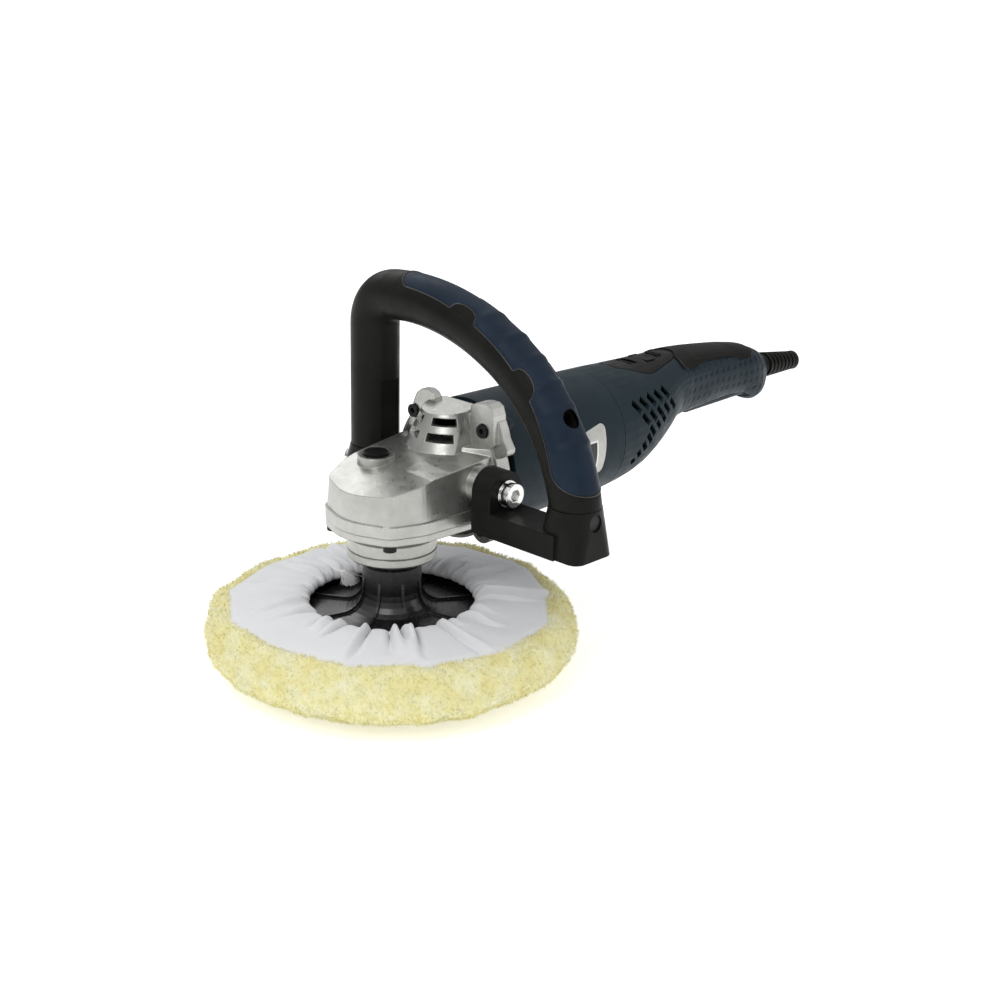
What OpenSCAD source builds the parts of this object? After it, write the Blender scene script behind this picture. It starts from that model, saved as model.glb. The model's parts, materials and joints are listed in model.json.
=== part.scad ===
// Rotary polisher with a lambswool bonnet, a cast gear head, a motor body with a
// rear handle and a D-shaped front handle. Z runs up the spindle, X runs back
// along the motor. The origin is the middle of the bonnet's polishing face.

/* [Bonnet and backing plate] */
// Radius of the wool at its fullest
wool_r = 100; // [96:1:102]
// Height of the wool's upper edge above the polishing face
wool_h = 39; // [38:0.5:40]
// Radius of the flat middle of the polishing face
face_r = 52; // [48:1:60]
// Radius of the rubber backing plate
plate_r = 85; // [80:1:85]
// Radius of the sleeve's drawn-in opening
sleeve_open_r = 48.5; // [44:0.5:52]
// Radius of the backing plate's neck
neck_r = 15.8; // [14:0.1:17]
// Number of ribs on the back of the plate
rib_count = 8; // [6:1:10]

/* [Gear head] */
// Height of the motor axis above the polishing face
axis_z = 103.5; // [102:0.5:105]
// Radius of the nose around the spindle
nose_r = 33.2; // [33:0.1:34]
// Slope of the gear head's top, in degrees
top_slope = 13.2; // [12:0.1:14]
// Teeth on the large gear
gear_teeth = 37; // [37:1:37]
// Teeth on the pinion
pinion_teeth = 9; // [9:1:9]
// Pitch radius of the large gear at its outer edge
gear_pitch_r = 25; // [24:0.5:25]

/* [Motor body] */
// Radius of the motor body at the gear head
motor_front_r = 37.4; // [36:0.1:38]
// Radius of the motor body at the rear seam
motor_rear_r = 35.7; // [35:0.1:36]
// Place of the seam between motor body and rear housing
seam_x = 147; // [145:1:150]

/* [Front handle] */
// Place of the front handle's plane
loop_x = 36.2; // [35:0.1:38]
// Radius of the front handle's tube
tube_r = 13.4; // [13:0.1:14]
// Radius of the handle's upper arc
arc_r = 138; // [130:1:142]
// Radius of the handle's lower arc
low_arc_r = 101.6; // [98:0.1:104]
// Radius of the short bend at the far corner
bend_r = 18; // [17:0.5:22]

/* [Rear handle] */
// Wall of the plastic shells
shell_wall = 2.6; // [2.2:0.1:3]
// Radius of the mains lead's bore in the strain relief
lead_r = 3.6; // [3:0.1:4]

/* [Hidden] */
$fn = 64;

// Gear head levels: seam with the bearing cover, ridge above it, rear flange
seam_z = 86.5;
ridge_z = 93;
flange_x = 41;
flange_back = 50;
screw_y = 26.1;
screw_dz = 27.6;
nose_half_w = 35.5;
bolt_x = 31.6;
bolt_z = 105.6;
far_bolt_z = 97.4;
side_y = 38.8;

// Spindle lock: place of the button and the gear holes that its pin enters
lock_at = [1, 13.5];
lock_reach = norm(lock_at);
lock_angle = atan2(lock_at[1], lock_at[0]);

// Bevel pair: both cones meet at [0, 0, axis_z]
module_mm = 2 * gear_pitch_r / gear_teeth;
pinion_pitch_r = gear_pitch_r * pinion_teeth / gear_teeth;
toe_scale = 0.68;
backlash = 0.11;

// Front handle: its two arcs, its short bend and its two feet
far_y = 52.5;
foot_z = 108;
foot_low = 83.4;
arc_c = [20.9, 57];
arc_turn = 118.6;
low_c = arc_c + (arc_r - low_arc_r) * [cos(arc_turn), sin(arc_turn)];
low_end = 180 - asin((foot_z - low_c[1]) / low_arc_r);
near_y = low_c[0] + low_arc_r * cos(low_end);
bend_y = far_y - bend_r;
bend_z = arc_c[1] + sqrt(pow(arc_r - bend_r, 2) - pow(bend_y - arc_c[0], 2));
bend_turn = atan2(bend_z - arc_c[1], bend_y - arc_c[0]);
grip_from = 88;
grip_to = low_end - 3;
grip_screw_at = 145.8;

function arc_points(cx, cy, r, a0, a1, n) =
    [for (i = [0:n]) [cx + r * cos(a0 + (a1 - a0) * i / n), cy + r * sin(a0 + (a1 - a0) * i / n)]];

module at_x(x, y = 0, z = axis_z) { translate([x, y, z]) rotate([0, 90, 0]) children(); }
module at_y(x, y, z) { translate([x, y, z]) rotate([-90, 0, 0]) children(); }
module ring(r_out, r_in, h) {
    difference() {
        cylinder(r = r_out, h = h);
        translate([0, 0, -1]) cylinder(r = r_in, h = h + 2);
    }
}

// ---------------------------------------------------------------- bonnet and plate

wool_under = 26.4;
plate_z = 27;
plate_t = 8;

module bonnet_wool() {
    inner = plate_r + 0.6;
    full_z = 22.2;
    curve = [for (i = [0:10]) let (a = 9 * i)
        [face_r + (wool_r - face_r) * sin(a), full_z * (1 - cos(a))]];
    color("khaki") rotate_extrude($fn = 96)
        polygon(concat([[0, 0]], curve, [
            [wool_r - 0.8, 29], [wool_r - 4.5, 34.5], [wool_r - 9, 37.8], [88.5, wool_h],
            [86.5, wool_h - 0.8], [inner, 36], [inner, wool_under], [0, wool_under]]));
}

module bonnet_sleeve() {
    low = plate_z + plate_t + 0.5;
    color("whitesmoke") rotate_extrude($fn = 96)
        polygon([
            [sleeve_open_r, low + 0.6], [84, low], [85.2, low + 1], [86.2, wool_h - 0.6],
            [84, wool_h + 1.2], [72, 40.4], [60, 41.6], [53, 42], [sleeve_open_r, 41.2]]);
}

module drawstring() {
    reach = sleeve_open_r - 1.9;
    tail = 84;
    color("white") {
        rotate_extrude($fn = 96) translate([reach, 39.4]) circle(r = 1.3, $fn = 24);
        rotate([0, 0, tail]) {
            translate([reach - 1.5, 0, 40.2]) sphere(r = 2.3, $fn = 24);
            translate([reach - 2, 0, 40]) rotate([0, -112, 0]) cylinder(r = 1.6, h = 9, $fn = 24);
        }
    }
}

module backing_plate() {
    neck_top = 62;
    color("#1b1b1c") difference() {
        union() {
            rotate_extrude($fn = 96)
                polygon(concat(
                    [[0, plate_z], [plate_r - 2, plate_z], [plate_r, plate_z + 2],
                     [plate_r, plate_z + 5], [plate_r - 3, plate_z + plate_t],
                     [52, plate_z + plate_t], [48, 33.5], [34, 34.5]],
                    arc_points(neck_r + 12, 47, 12, -90, -180, 6),
                    [[neck_r, neck_top - 1], [neck_r - 1, neck_top], [0, neck_top]]));
            for (i = [0:rib_count - 1])
                rotate([90, 0, (i + 0.5) * 360 / rib_count]) translate([0, 0, -0.8])
                    linear_extrude(1.6)
                        polygon(concat(
                            [[neck_r - 3, 33], [neck_r - 3, 55], [neck_r + 0.2, 54]],
                            arc_points(neck_r + 13, 48.3, 12, -175, -92, 6), [[46, 35.3], [46, 33]]));
        }
        translate([0, 0, 44]) cylinder(r = 10.05, h = 20);
        translate([0, 0, plate_z - 1]) cylinder(r = 8, h = 30);
    }
}

module thread_insert() {
    color("silver") translate([0, 0, 44.1]) difference() {
        union() {
            cylinder(r = 10, h = 17.6);
            for (i = [0:5]) rotate([0, 0, 60 * i]) translate([9.2, -1, 0]) cube([0.74, 2, 17.6]);
        }
        translate([0, 0, -1]) cylinder(r = 7.02, h = 20);
    }
}

// ---------------------------------------------------------------- spindle and gears

module spindle_shaft() {
    color("lightgray") difference() {
        rotate_extrude()
            polygon([
                [0, 44.5], [6, 44.5], [7, 45.5], [7, 62.3], [12, 62.3], [12, 66.5], [9.5, 66.5],
                [9.5, 71.4], [7.5, 71.4], [7.5, 85.2], [7, 85.2], [7, 95.4], [4, 96.4],
                [4, 106.2], [3.4, 106.8], [0, 106.8]]);
        translate([5.6, -1.5, 86.5]) cube([3, 3, 7]);
    }
}

module gear_key() {
    color("gray") translate([5.7, -1.45, 86.6]) cube([2.7, 2.9, 6.8]);
}

// One tooth of the large gear, between the heel and the toe, drawn towards the apex
module ring_tooth() {
    cone = atan(gear_pitch_r / pinion_pitch_r);
    out = [sin(cone), 0, -cos(cone)];
    up = [cos(cone), 0, sin(cone)];
    reach = norm([gear_pitch_r, pinion_pitch_r]);
    head = 0.5 * module_mm;
    root = 1.5 * module_mm;
    half = PI * module_mm / 4 - backlash;
    function corner(h, s) = reach * out + h * up + [0, s * (half - h * tan(20)), 0];
    heel = [corner(head, 1), corner(head, -1), corner(-root, -1), corner(-root, 1)];
    pts = concat(heel, [for (p = heel) toe_scale * p]);
    polyhedron(pts, [[3, 2, 1, 0], [4, 5, 6, 7], [0, 1, 5, 4], [1, 2, 6, 5], [2, 3, 7, 6], [3, 0, 4, 7]]);
}

module ring_gear() {
    toe_r = gear_pitch_r * toe_scale;
    heel_z = axis_z - pinion_pitch_r;
    root = 1.15 * module_mm;
    toe_z = axis_z - pinion_pitch_r * toe_scale;
    color("dimgray") difference() {
        union() {
            rotate_extrude()
                polygon([
                    [7.02, 85.4], [12, 85.4], [12, 87.4], [gear_pitch_r - 4, 88.4],
                    [gear_pitch_r - 0.4, 91.5], [gear_pitch_r - 0.4, heel_z - root + 0.1],
                    [toe_r - 0.6, toe_z - root * toe_scale - 0.1], [toe_r - 0.6, 94.6],
                    [10.4, 94.6], [10.4, 95.2], [7.02, 95.2]]);
            for (i = [0:gear_teeth - 1])
                translate([0, 0, axis_z]) rotate([0, 0, (i + 0.5) * 360 / gear_teeth]) ring_tooth();
        }
        for (i = [0:3])
            rotate([0, 0, lock_angle + 90 * i]) translate([lock_reach, 0, 80]) cylinder(r = 3.1, h = 20);
        translate([6, -1.5, 86.5]) cube([2.45, 3, 7]);
    }
}

// Involute outline of the pinion at its heel
base_r = pinion_pitch_r * cos(20);
tip_r = pinion_pitch_r + 0.95 * module_mm;
root_r = pinion_pitch_r - 0.72 * module_mm;
function inv(a) = tan(a) - a * PI / 180;
function flank_angle(r) =
    (PI / 2 / pinion_teeth + inv(20) - inv(acos(base_r / r))) * 180 / PI - backlash / pinion_pitch_r * 180 / PI;
flank_r = [for (i = [0:4]) base_r + 0.02 + (tip_r - base_r - 0.02) * i / 4];
function polar(r, a) = [r * cos(a), r * sin(a)];
function tooth_outline(a) = concat(
    [polar(root_r, a - flank_angle(flank_r[0]) - 2)],
    [for (r = flank_r) polar(r, a - flank_angle(r))],
    [for (i = [4:-1:0]) polar(flank_r[i], a + flank_angle(flank_r[i]))],
    [polar(root_r, a + flank_angle(flank_r[0]) + 2)]);

module pinion() {
    pts = [for (i = [0:pinion_teeth - 1]) each tooth_outline(i * 360 / pinion_teeth)];
    color("dimgray") difference() {
        union() {
            translate([gear_pitch_r, 0, axis_z]) rotate([0, -90, 0])
                linear_extrude(gear_pitch_r * (1 - toe_scale), scale = toe_scale) rotate(180) polygon(pts);
            at_x(gear_pitch_r - 0.5) cylinder(r = 4.6, h = 4.9);
            at_x(gear_pitch_r + 0.8) cylinder(r = 6.4, h = 3.6);
        }
        at_x(10) cylinder(r = 2.52, h = 25);
    }
}

module pinion_nut() {
    color("gray") at_x(13.6) difference() {
        cylinder(r = 3.9, h = 3.2, $fn = 6);
        translate([0, 0, -1]) cylinder(r = 2.02, h = 6);
    }
}

module bearing(bore, outer, width, balls, ball_r) {
    third = (outer - bore) * 0.27;
    mid = (outer + bore) / 2;
    ring(bore + third, bore, width);
    ring(outer, outer - third, width);
    for (i = [0:balls - 1])
        rotate([0, 0, i * 360 / balls]) translate([mid, 0, width / 2]) sphere(r = ball_r, $fn = 20);
}

module spindle_bearing_inner() {
    color("silver") translate([0, 0, 71.6]) ring(10.2, 7.52, 11);
}

module spindle_bearing_outer() {
    color("silver") translate([0, 0, 71.6]) ring(17.48, 15, 11);
}

module spindle_bearing_balls() {
    color("gainsboro") for (i = [0:8])
        rotate([0, 0, 40 * i]) translate([12.45, 0, 77.1]) sphere(r = 2.1, $fn = 24);
}

module needle_bush() {
    color("silver") translate([0, 0, 97.4]) ring(6, 4.04, 9.6);
}

// ---------------------------------------------------------------- gear head castings

module nose_plan(inset) {
    hull() {
        circle(r = nose_r - inset, $fn = 80);
        for (s = [-1, 1]) translate([-16.6, 16.6 * s]) circle(r = 11.6 - inset, $fn = 48);
        translate([flange_x + 1, 0]) square([2, 2 * (nose_half_w - inset)], center = true);
    }
}

// Height of the gear head's top on its middle line, and how far its edges fall below that
function top_at(x) = 108 + tan(top_slope) * (x + 28);
function edge_drop(x) = 0.5 + max(0, x) * 0.125;

// Everything under the sloping top of the gear head
module under_top() {
    xs = [-45, -20, 0, 12, 24, 36, 56];
    n = 8;
    pts = [for (x = xs) let (t = top_at(x), d = edge_drop(x)) each [
        [x, -50, 60], [x, 50, 60], [x, 50, t - 2.6 * d], [x, 32, t - d], [x, 9, t],
        [x, -9, t], [x, -32, t - d], [x, -50, t - 2.6 * d]]];
    last = (len(xs) - 1) * n;
    polyhedron(pts, concat(
        [[for (i = [0:n - 1]) i]], [[for (i = [n - 1:-1:0]) last + i]],
        [for (k = [0:len(xs) - 2]) for (i = [0:n - 1])
            let (a = k * n + i, b = k * n + (i + 1) % n) each [[a, b + n, b], [a, a + n, b + n]]]));
}

dome_x = 41.7;
function dome_r(z) = 21.5 - 0.464 * (z - 124);

module dome_cone(wall, z0, z1) {
    translate([dome_x, 0, z0]) cylinder(r1 = dome_r(z0) - wall, r2 = dome_r(z1) - wall, h = z1 - z0, $fn = 96);
}

module dome_window(z, h, s, from, to) {
    // an opening through the front wall on side s, between two distances from the middle plane
    r = dome_r(z + h / 2);
    a0 = 180 - s * asin(from / r);
    a1 = 180 - s * asin(to / r);
    translate([dome_x, 0, z]) linear_extrude(h)
        polygon(concat(arc_points(0, 0, r - 5, a0, a1, 6), arc_points(0, 0, r + 6, a1, a0, 6)));
}

module dome_body() {
    intersection() {
        dome_cone(0, 112, 148);
        translate([dome_x - 34, 0, 0]) rotate([90, 0, 90]) linear_extrude(flange_back - dome_x + 34)
            polygon([[-20.2, 112], [-18, 124], [-14.4, 140], [-13, 146], [13, 146], [14.4, 140], [18, 124], [20.2, 112]]);
        translate([23, 0, 137.5]) rotate([0, -6.6, 0]) translate([-30, -40, -60]) cube([90, 80, 60]);
    }
}

// Upper lugs: the near one is broad, the far one is cut back beside its screw
near_lug = [[-16, 112], [-17.3, 143.3], [-20, 145], [-24.3, 145.9], [-29, 146], [-32, 144.4], [-33.5, 140.5],
            [-34.6, 124.7], [-29.2, 121], [-28, 112]];
far_lug = [[28, 112], [30.8, 122.7], [28.9, 130], [26.2, 137], [24, 141.6], [20.5, 144.4], [15.4, 145.1],
           [12, 144], [9.7, 141.5], [9.7, 112]];
near_wing = [[-24, 112], [-26, 139], [-30, 138.6], [-34.2, 137], [-36, 133], [-37.6, 128.2], [-40.9, 123.3],
             [-40.7, 121], [-39.5, 119.4], [-34.2, 116.5]];

module slab_x(x0, x1, pts) {
    translate([x0, 0, 0]) rotate([90, 0, 90]) linear_extrude(x1 - x0) polygon(pts);
}

module gear_housing() {
    color("#c9c7c0") difference() {
        union() {
            intersection() {
                hull() {
                    translate([0, 0, ridge_z - 1]) linear_extrude(0.1) nose_plan(0.9);
                    translate([0, 0, 131]) linear_extrude(0.1) nose_plan(4);
                }
                under_top();
            }
            translate([0, 0, seam_z]) linear_extrude(ridge_z - seam_z) nose_plan(0);
            intersection() {
                at_x(30) cylinder(r1 = 22, r2 = 36.5, h = flange_x - 29.9);
                translate([20, -40, 60]) cube([30, 80, 62]);
            }
            intersection() {
                at_x(flange_x) cylinder(r = 38, h = flange_back - flange_x);
                translate([20, -60, 50]) cube([40, 120, 88.2]);
            }
            slab_x(flange_x - 0.4, flange_back, near_lug);
            slab_x(flange_x - 0.4, flange_x + 4.6, far_lug);
            slab_x(flange_x + 3, flange_back, near_wing);
            for (s = [-1, 1]) at_x(flange_x, s * screw_y, axis_z - screw_dz) cylinder(r = 7.6, h = 9);
            at_y(bolt_x, -side_y, bolt_z) cylinder(r = 9.5, h = side_y - 30);
            at_y(bolt_x, 30, far_bolt_z) cylinder(r = 9.5, h = side_y - 30);
            dome_body();
            translate([lock_at[0], lock_at[1], 108]) cylinder(r = 9.8, h = 9.8);
        }
        translate([-60, -60, 40]) cube([92.3, 120, seam_z - 40]);
        gear_housing_cavity();
        gear_housing_holes();
    }
}

module gear_housing_cavity() {
    // chamber of the large gear, open to the bearing cover
    translate([0, 0, 60]) cylinder(r = 26.6, h = 41.2);
    // seat of the pinion's bearing, the tunnel in front of it and the fan's chamber
    at_x(11.5) cylinder(r = 9.6, h = 30);
    at_x(32) cylinder(r = 16.02, h = 30);
    at_x(42.2) cylinder(r = 22.1, h = 10);
    at_x(46) cylinder(r = 32.5, h = 10);
    // air space of the dome, from the fan's chamber to the windows
    intersection() {
        dome_cone(3, 124, 135.8);
        translate([dome_x - 30, -13, 120]) cube([38.5, 26, 30]);
    }
    for (s = [-1, 1]) {
        dome_window(124.4, 4.3, s, 3, 16);
        dome_window(132.4, 4, s, 3.4, 14.3);
    }
    translate([46, -12, 122]) cube([6, 24, 8]);
}

module gear_housing_holes() {
    for (s = [-1, 1]) for (d = [-1, 1]) {
        at_x(30, s * screw_y, axis_z + d * screw_dz) cylinder(r = 2.1, h = 25);
        at_x(30, s * screw_y, axis_z + d * screw_dz) cylinder(r = 3.9, h = 13.5);
    }
    at_y(bolt_x, -45, bolt_z) cylinder(r = 4.02, h = 20);
    at_y(bolt_x, 25, far_bolt_z) cylinder(r = 4.02, h = 20);
    for (p = cover_screw_at) translate([p[0], p[1], seam_z - 1]) cylinder(r = 2.02, h = 9);
    // recess and bore of the lock button
    translate([lock_at[0], lock_at[1], 107.9]) cylinder(r = 7, h = 15);
    translate([lock_at[0], lock_at[1], 98]) cylinder(r = 2.6, h = 20);
    // seat of the needle bush
    translate([0, 0, 90]) cylinder(r = 6.02, h = 17.1);
}

cover_screw_at = [[-21.8, 21.8], [-21.8, -21.8], [25.5, 22], [25.5, -22]];

module bearing_cover() {
    color("#c4c2bb") difference() {
        union() {
            intersection() {
                translate([0, 0, seam_z - 4]) linear_extrude(4) nose_plan(0.2);
                translate([-40, -50, 70]) cube([72, 100, 40]);
            }
            translate([0, 0, 77.6]) cylinder(r1 = 24.4, r2 = 31.5, h = 5);
            translate([0, 0, 71]) cylinder(r = 23.6, h = 8);
            translate([0, 0, seam_z - 1]) cylinder(r = 26.5, h = 2.4);
        }
        translate([0, 0, 65]) cylinder(r = 10, h = 30);
        translate([0, 0, 71.5]) cylinder(r = 17.5, h = 30);
        translate([0, 0, 83]) cylinder(r = 24, h = 30);
        for (p = cover_screw_at) {
            translate([p[0], p[1], 70]) cylinder(r = 2.1, h = 20);
            translate([p[0], p[1], 70]) cylinder(r = 3.9, h = 12.6);
        }
    }
}

module cover_screws() {
    color("#26282a") for (p = cover_screw_at) translate([p[0], p[1], 79]) difference() {
        union() {
            cylinder(r = 3.5, h = 3.6);
            cylinder(r = 2, h = 15);
        }
        translate([0, 0, -1]) cylinder(r = 1.7, h = 3, $fn = 6);
    }
}

module dust_ring() {
    color("#d2d1cb") rotate_extrude($fn = 96)
        polygon([[12.4, 65.4], [22.6, 65.4], [23.9, 66.6], [23.9, 70.4], [23.2, 70.9], [12.4, 70.9],
                 [12.4, 68.6], [12.4, 67]]);
}

module flange_screws() {
    color("#26282a") for (s = [-1, 1]) for (d = [-1, 1])
        at_x(39.2, s * screw_y, axis_z + d * screw_dz) difference() {
            union() {
                cylinder(r = 3.6, h = 4.2);
                cylinder(r = 2, h = 19.6);
            }
            translate([0, 0, -1]) cylinder(r = 1.7, h = 3.2, $fn = 6);
        }
}

module lock_button() {
    color("#1d1e20") translate([lock_at[0], lock_at[1], 0]) {
        translate([0, 0, 116.2]) cylinder(r = 6.7, h = 3);
        translate([0, 0, 119.15]) cylinder(r1 = 6.7, r2 = 6.1, h = 0.45);
        translate([0, 0, 113]) cylinder(r = 3, h = 4.2);
        translate([0, 0, 95.6]) cylinder(r = 2.5, h = 17.6);
    }
}

module lock_spring() {
    turns = 4;
    color("silver") translate([lock_at[0], lock_at[1], 107.95])
        for (i = [0:turns - 1]) translate([0, 0, 0.4 + 2.44 * i])
            rotate_extrude() translate([4.6, 0]) circle(r = 0.4, $fn = 16);
}

// ---------------------------------------------------------------- armature

module armature_shaft() {
    color("lightgray") at_x(0) rotate_extrude()
        polygon([[0, 13.2], [2, 13.2], [2, 16.8], [2.5, 16.8], [2.5, 30], [6, 30], [6, 72],
                 [5, 72], [5, 137], [4, 137], [4, 145], [0, 145]]);
}

module armature_core() {
    slots = 12;
    color("slategray") at_x(76) difference() {
        ring(17.4, 5.02, 42);
        for (i = [0:slots - 1]) rotate([0, 0, i * 360 / slots]) {
            translate([15.5, -0.8, -1]) cube([4, 1.6, 44]);
            translate([13, 0, -1]) cylinder(r = 2, h = 44, $fn = 24);
        }
    }
}

module armature_windings() {
    slots = 12;
    color("#a8561f") {
        for (x = [72.3, 118.1]) at_x(x) ring(15.4, 6.1, 3.6);
        for (i = [0:slots - 1]) at_x(75.8) rotate([0, 0, i * 360 / slots])
            translate([13, 0, 0]) cylinder(r = 1.9, h = 42.4, $fn = 24);
    }
}

module commutator() {
    bars = 24;
    color("#b87333") at_x(122.6) difference() {
        union() {
            ring(11, 5.02, 13);
            ring(12.4, 5.02, 2);
        }
        for (i = [0:bars - 1]) rotate([0, 0, i * 360 / bars]) translate([10, -0.25, 2.4]) cube([2, 0.5, 12]);
    }
}

module cooling_fan() {
    blades = 11;
    color("#2b2d30") {
        at_x(57) difference() {
            union() {
                cylinder(r = 30, h = 2);
                cylinder(r = 10, h = 13);
                for (i = [0:blades - 1]) rotate([0, 0, i * 360 / blades])
                    translate([8, -0.9, 1]) cube([21, 1.8, 9]);
            }
            translate([0, 0, -1]) cylinder(r = 6.02, h = 20);
        }
    }
}

module front_bearing() { color("silver") at_x(32.1) bearing(6.02, 16, 10, 8, 2.15); }
module rear_bearing() { color("silver") at_x(137.6) bearing(4.02, 11, 7, 7, 1.45); }

module bearing_retainer() {
    color("#b9b8b2") at_x(42.3) difference() {
        cylinder(r = 22, h = 3);
        translate([0, 0, -1]) cylinder(r = 10, h = 6);
        for (i = [0:2]) rotate([0, 0, 60 + 120 * i]) translate([19, 0, -1]) cylinder(r = 1.6, h = 6);
    }
}

// ---------------------------------------------------------------- motor body

module motor_skin(grow) {
    at_x(0) rotate_extrude($fn = 96)
        polygon([[0, 55], [motor_front_r + grow, 55], [motor_rear_r + grow, seam_x], [0, seam_x]]);
}

module fan_baffle() {
    color("#17181a") at_x(flange_back) difference() {
        cylinder(r = 34.6, h = 6);
        translate([0, 0, -1]) cylinder(r = 24, h = 8);
        for (s = [-1, 1]) for (d = [-1, 1]) translate([d * screw_dz, s * screw_y, -1]) cylinder(r = 7.7, h = 8);
    }
}

module motor_lobes(r) {
    for (s = [-1, 1]) for (d = [-1, 1])
        at_x(flange_back + 0.3, s * screw_y, axis_z + d * screw_dz) {
            cylinder(r = r, h = 6);
            translate([0, 0, 5.9]) cylinder(r1 = r, r2 = 2.4, h = 6);
        }
}

module motor_housing() {
    color("#2d3746") difference() {
        union() {
            motor_skin(0);
            motor_lobes(5.2);
        }
        at_x(56.1) cylinder(r = 34, h = 15);
        at_x(40) cylinder(r = 34.7, h = 16.2);
        at_x(70) cylinder(r = 32.2, h = 62);
        at_x(70) cylinder(r = 30, h = 65.5);
        at_x(130) cylinder(r = 11.02, h = 14.7);
        at_x(140) cylinder(r = 9, h = 12);
        for (i = [0:5]) at_x(130) rotate([0, 0, 60 * i + 30]) translate([22.5, 0, 0]) cylinder(r = 6, h = 30);
        for (s = [-1, 1]) for (d = [-1, 1])
            at_x(45, s * screw_y, axis_z + d * screw_dz) cylinder(r = 2.02, h = 14.6);
        plate_zone(0.3, 1.1);
    }
}

// The curved zone on the near side that holds the name plate
module plate_zone(edge, depth) {
    intersection() {
        difference() {
            motor_skin(3);
            motor_skin(-depth);
        }
        translate([0, -20, 0]) rotate([90, 0, 0]) linear_extrude(30) offset(r = edge) plate_outline();
    }
}

module plate_outline() {
    hull() {
        translate([92, 101.5]) circle(r = 6, $fn = 32);
        translate([92, 106.5]) circle(r = 6, $fn = 32);
        translate([126, 93.6]) circle(r = 3.4, $fn = 32);
        translate([127.6, 115.4]) circle(r = 3.4, $fn = 32);
    }
}

module name_plate() {
    color("#c8c8c4") intersection() {
        difference() {
            motor_skin(-0.1);
            motor_skin(-1.05);
        }
        translate([0, -20, 0]) rotate([90, 0, 0]) linear_extrude(30) plate_outline();
    }
}

module stator_core() {
    color("slategray") at_x(76) intersection() {
        difference() {
            cylinder(r = 32.1, h = 42);
            translate([0, 0, -1]) cylinder(r = 17.95, h = 50);
            for (s = [-1, 1]) translate([0, 0, -1]) linear_extrude(50)
                polygon([[14, s * 15], [26, s * 8], [26, s * 24], [12, s * 26], [-12, s * 26],
                         [-26, s * 24], [-26, s * 8], [-14, s * 15], [-10, s * 22], [10, s * 22]]);
        }
        translate([-29.5, -40, 0]) cube([59, 80, 42]);
    }
}

module field_windings() {
    color("#b5652b") for (s = [-1, 1]) for (x = [71.9, 118.2])
        at_x(x) intersection() {
            ring(29, 20, 3.9);
            translate([s > 0 ? 2 : -40, -40, -1]) cube([38, 80, 8]);
        }
}

brush_x = 130.2;
module brush_holders() {
    color("#b08d3c") for (s = [-1, 1]) translate([brush_x, s * 11.8, axis_z]) rotate([-90 * s, 0, 0])
        difference() {
            translate([-5, -4.5, 0]) cube([10, 9, 16]);
            translate([-3.55, -3.05, -1]) cube([7.1, 6.1, 20]);
        }
}

module carbon_brushes() {
    color("#222222") for (s = [-1, 1]) translate([brush_x - 3.5, s > 0 ? 11.35 : -22.35, axis_z - 3])
        cube([7, 11, 6]);
}

module brush_springs() {
    color("silver") for (s = [-1, 1]) at_y(brush_x, s > 0 ? 22.4 : -27.8, axis_z)
        for (i = [0:2]) translate([0, 0, 0.4 + 2.1 * i]) rotate_extrude() translate([2, 0]) circle(r = 0.35, $fn = 16);
}

// ---------------------------------------------------------------- rear housing and handle

// Stations along the rear housing: place, top, bottom, half width, squareness
stations = [
    [seam_x + 0.3, 139.2, 67.8, 35.8, 2], [160, 138.9, 69.2, 35, 2], [170, 138.4, 71, 34, 2.02],
    [180, 137.9, 74, 32.4, 2.05], [189, 137.6, 78.2, 30.4, 2.08], [197, 137.4, 82.6, 28.2, 2.12],
    [205, 137.3, 87.4, 25.8, 2.16], [212, 137.2, 92, 23.2, 2.2],
    [219, 137.3, 95.8, 21, 2.25], [230, 137.1, 97.1, 19.2, 2.3], [245, 136, 97.6, 18, 2.3],
    [262, 134.1, 98.4, 17.2, 2.3], [280, 131.8, 98.9, 16.8, 2.3], [293, 129.5, 97.9, 16.8, 2.3],
    [300, 127.9, 94.3, 16.6, 2.3], [306, 126, 91.6, 15.8, 2.3], [311.5, 123.6, 91.9, 13.8, 2.25],
    [315.5, 121.2, 94.6, 11.4, 2.2], [318.5, 118.6, 98.6, 8.8, 2.1]];
sides = 40;
function station_ring(p, grow) = [for (i = [0:sides - 1])
    let (c = cos(360 * i / sides), d = sin(360 * i / sides), e = 2 / p[4])
    [p[0], (p[3] + grow) * sign(c) * pow(abs(c), e),
     (p[1] + p[2]) / 2 + ((p[1] - p[2]) / 2 + grow) * sign(d) * pow(abs(d), e)]];

module loft(list, grow) {
    n = sides;
    last = (len(list) - 1) * n;
    polyhedron([for (p = list) each station_ring(p, grow)], concat(
        [[for (i = [0:n - 1]) i]], [[for (i = [n - 1:-1:0]) last + i]],
        [for (k = [0:len(list) - 2]) for (i = [0:n - 1])
            let (a = k * n + i, b = k * n + (i + 1) % n) each [[a, b + n, b], [a, a + n, b + n]]]));
}

module rear_skin(grow, first = 0, last = len(stations) - 1) {
    loft([for (i = [first:last]) stations[i]], grow);
}

// The hollow inside the two shells
module rear_hollow() {
    loft([for (i = [0:len(stations) - 2]) i > 0 ? stations[i] : concat([seam_x - 1], [for (k = [1:4]) stations[0][k]])],
        -shell_wall);
}

vent_slant = atan2(-7.8, 6.3);
vent_row = [7.85, 0.5];
vent_col = [6.3, -7.8];
vent_first = [162.2, 120.6];
belly_first = [172, 100.8];
belly_step = [-4.2, -3.8];

module vent_slot(at, long) {
    translate(at) rotate(vent_slant) square([long, 3.5], center = true);
}

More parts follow.
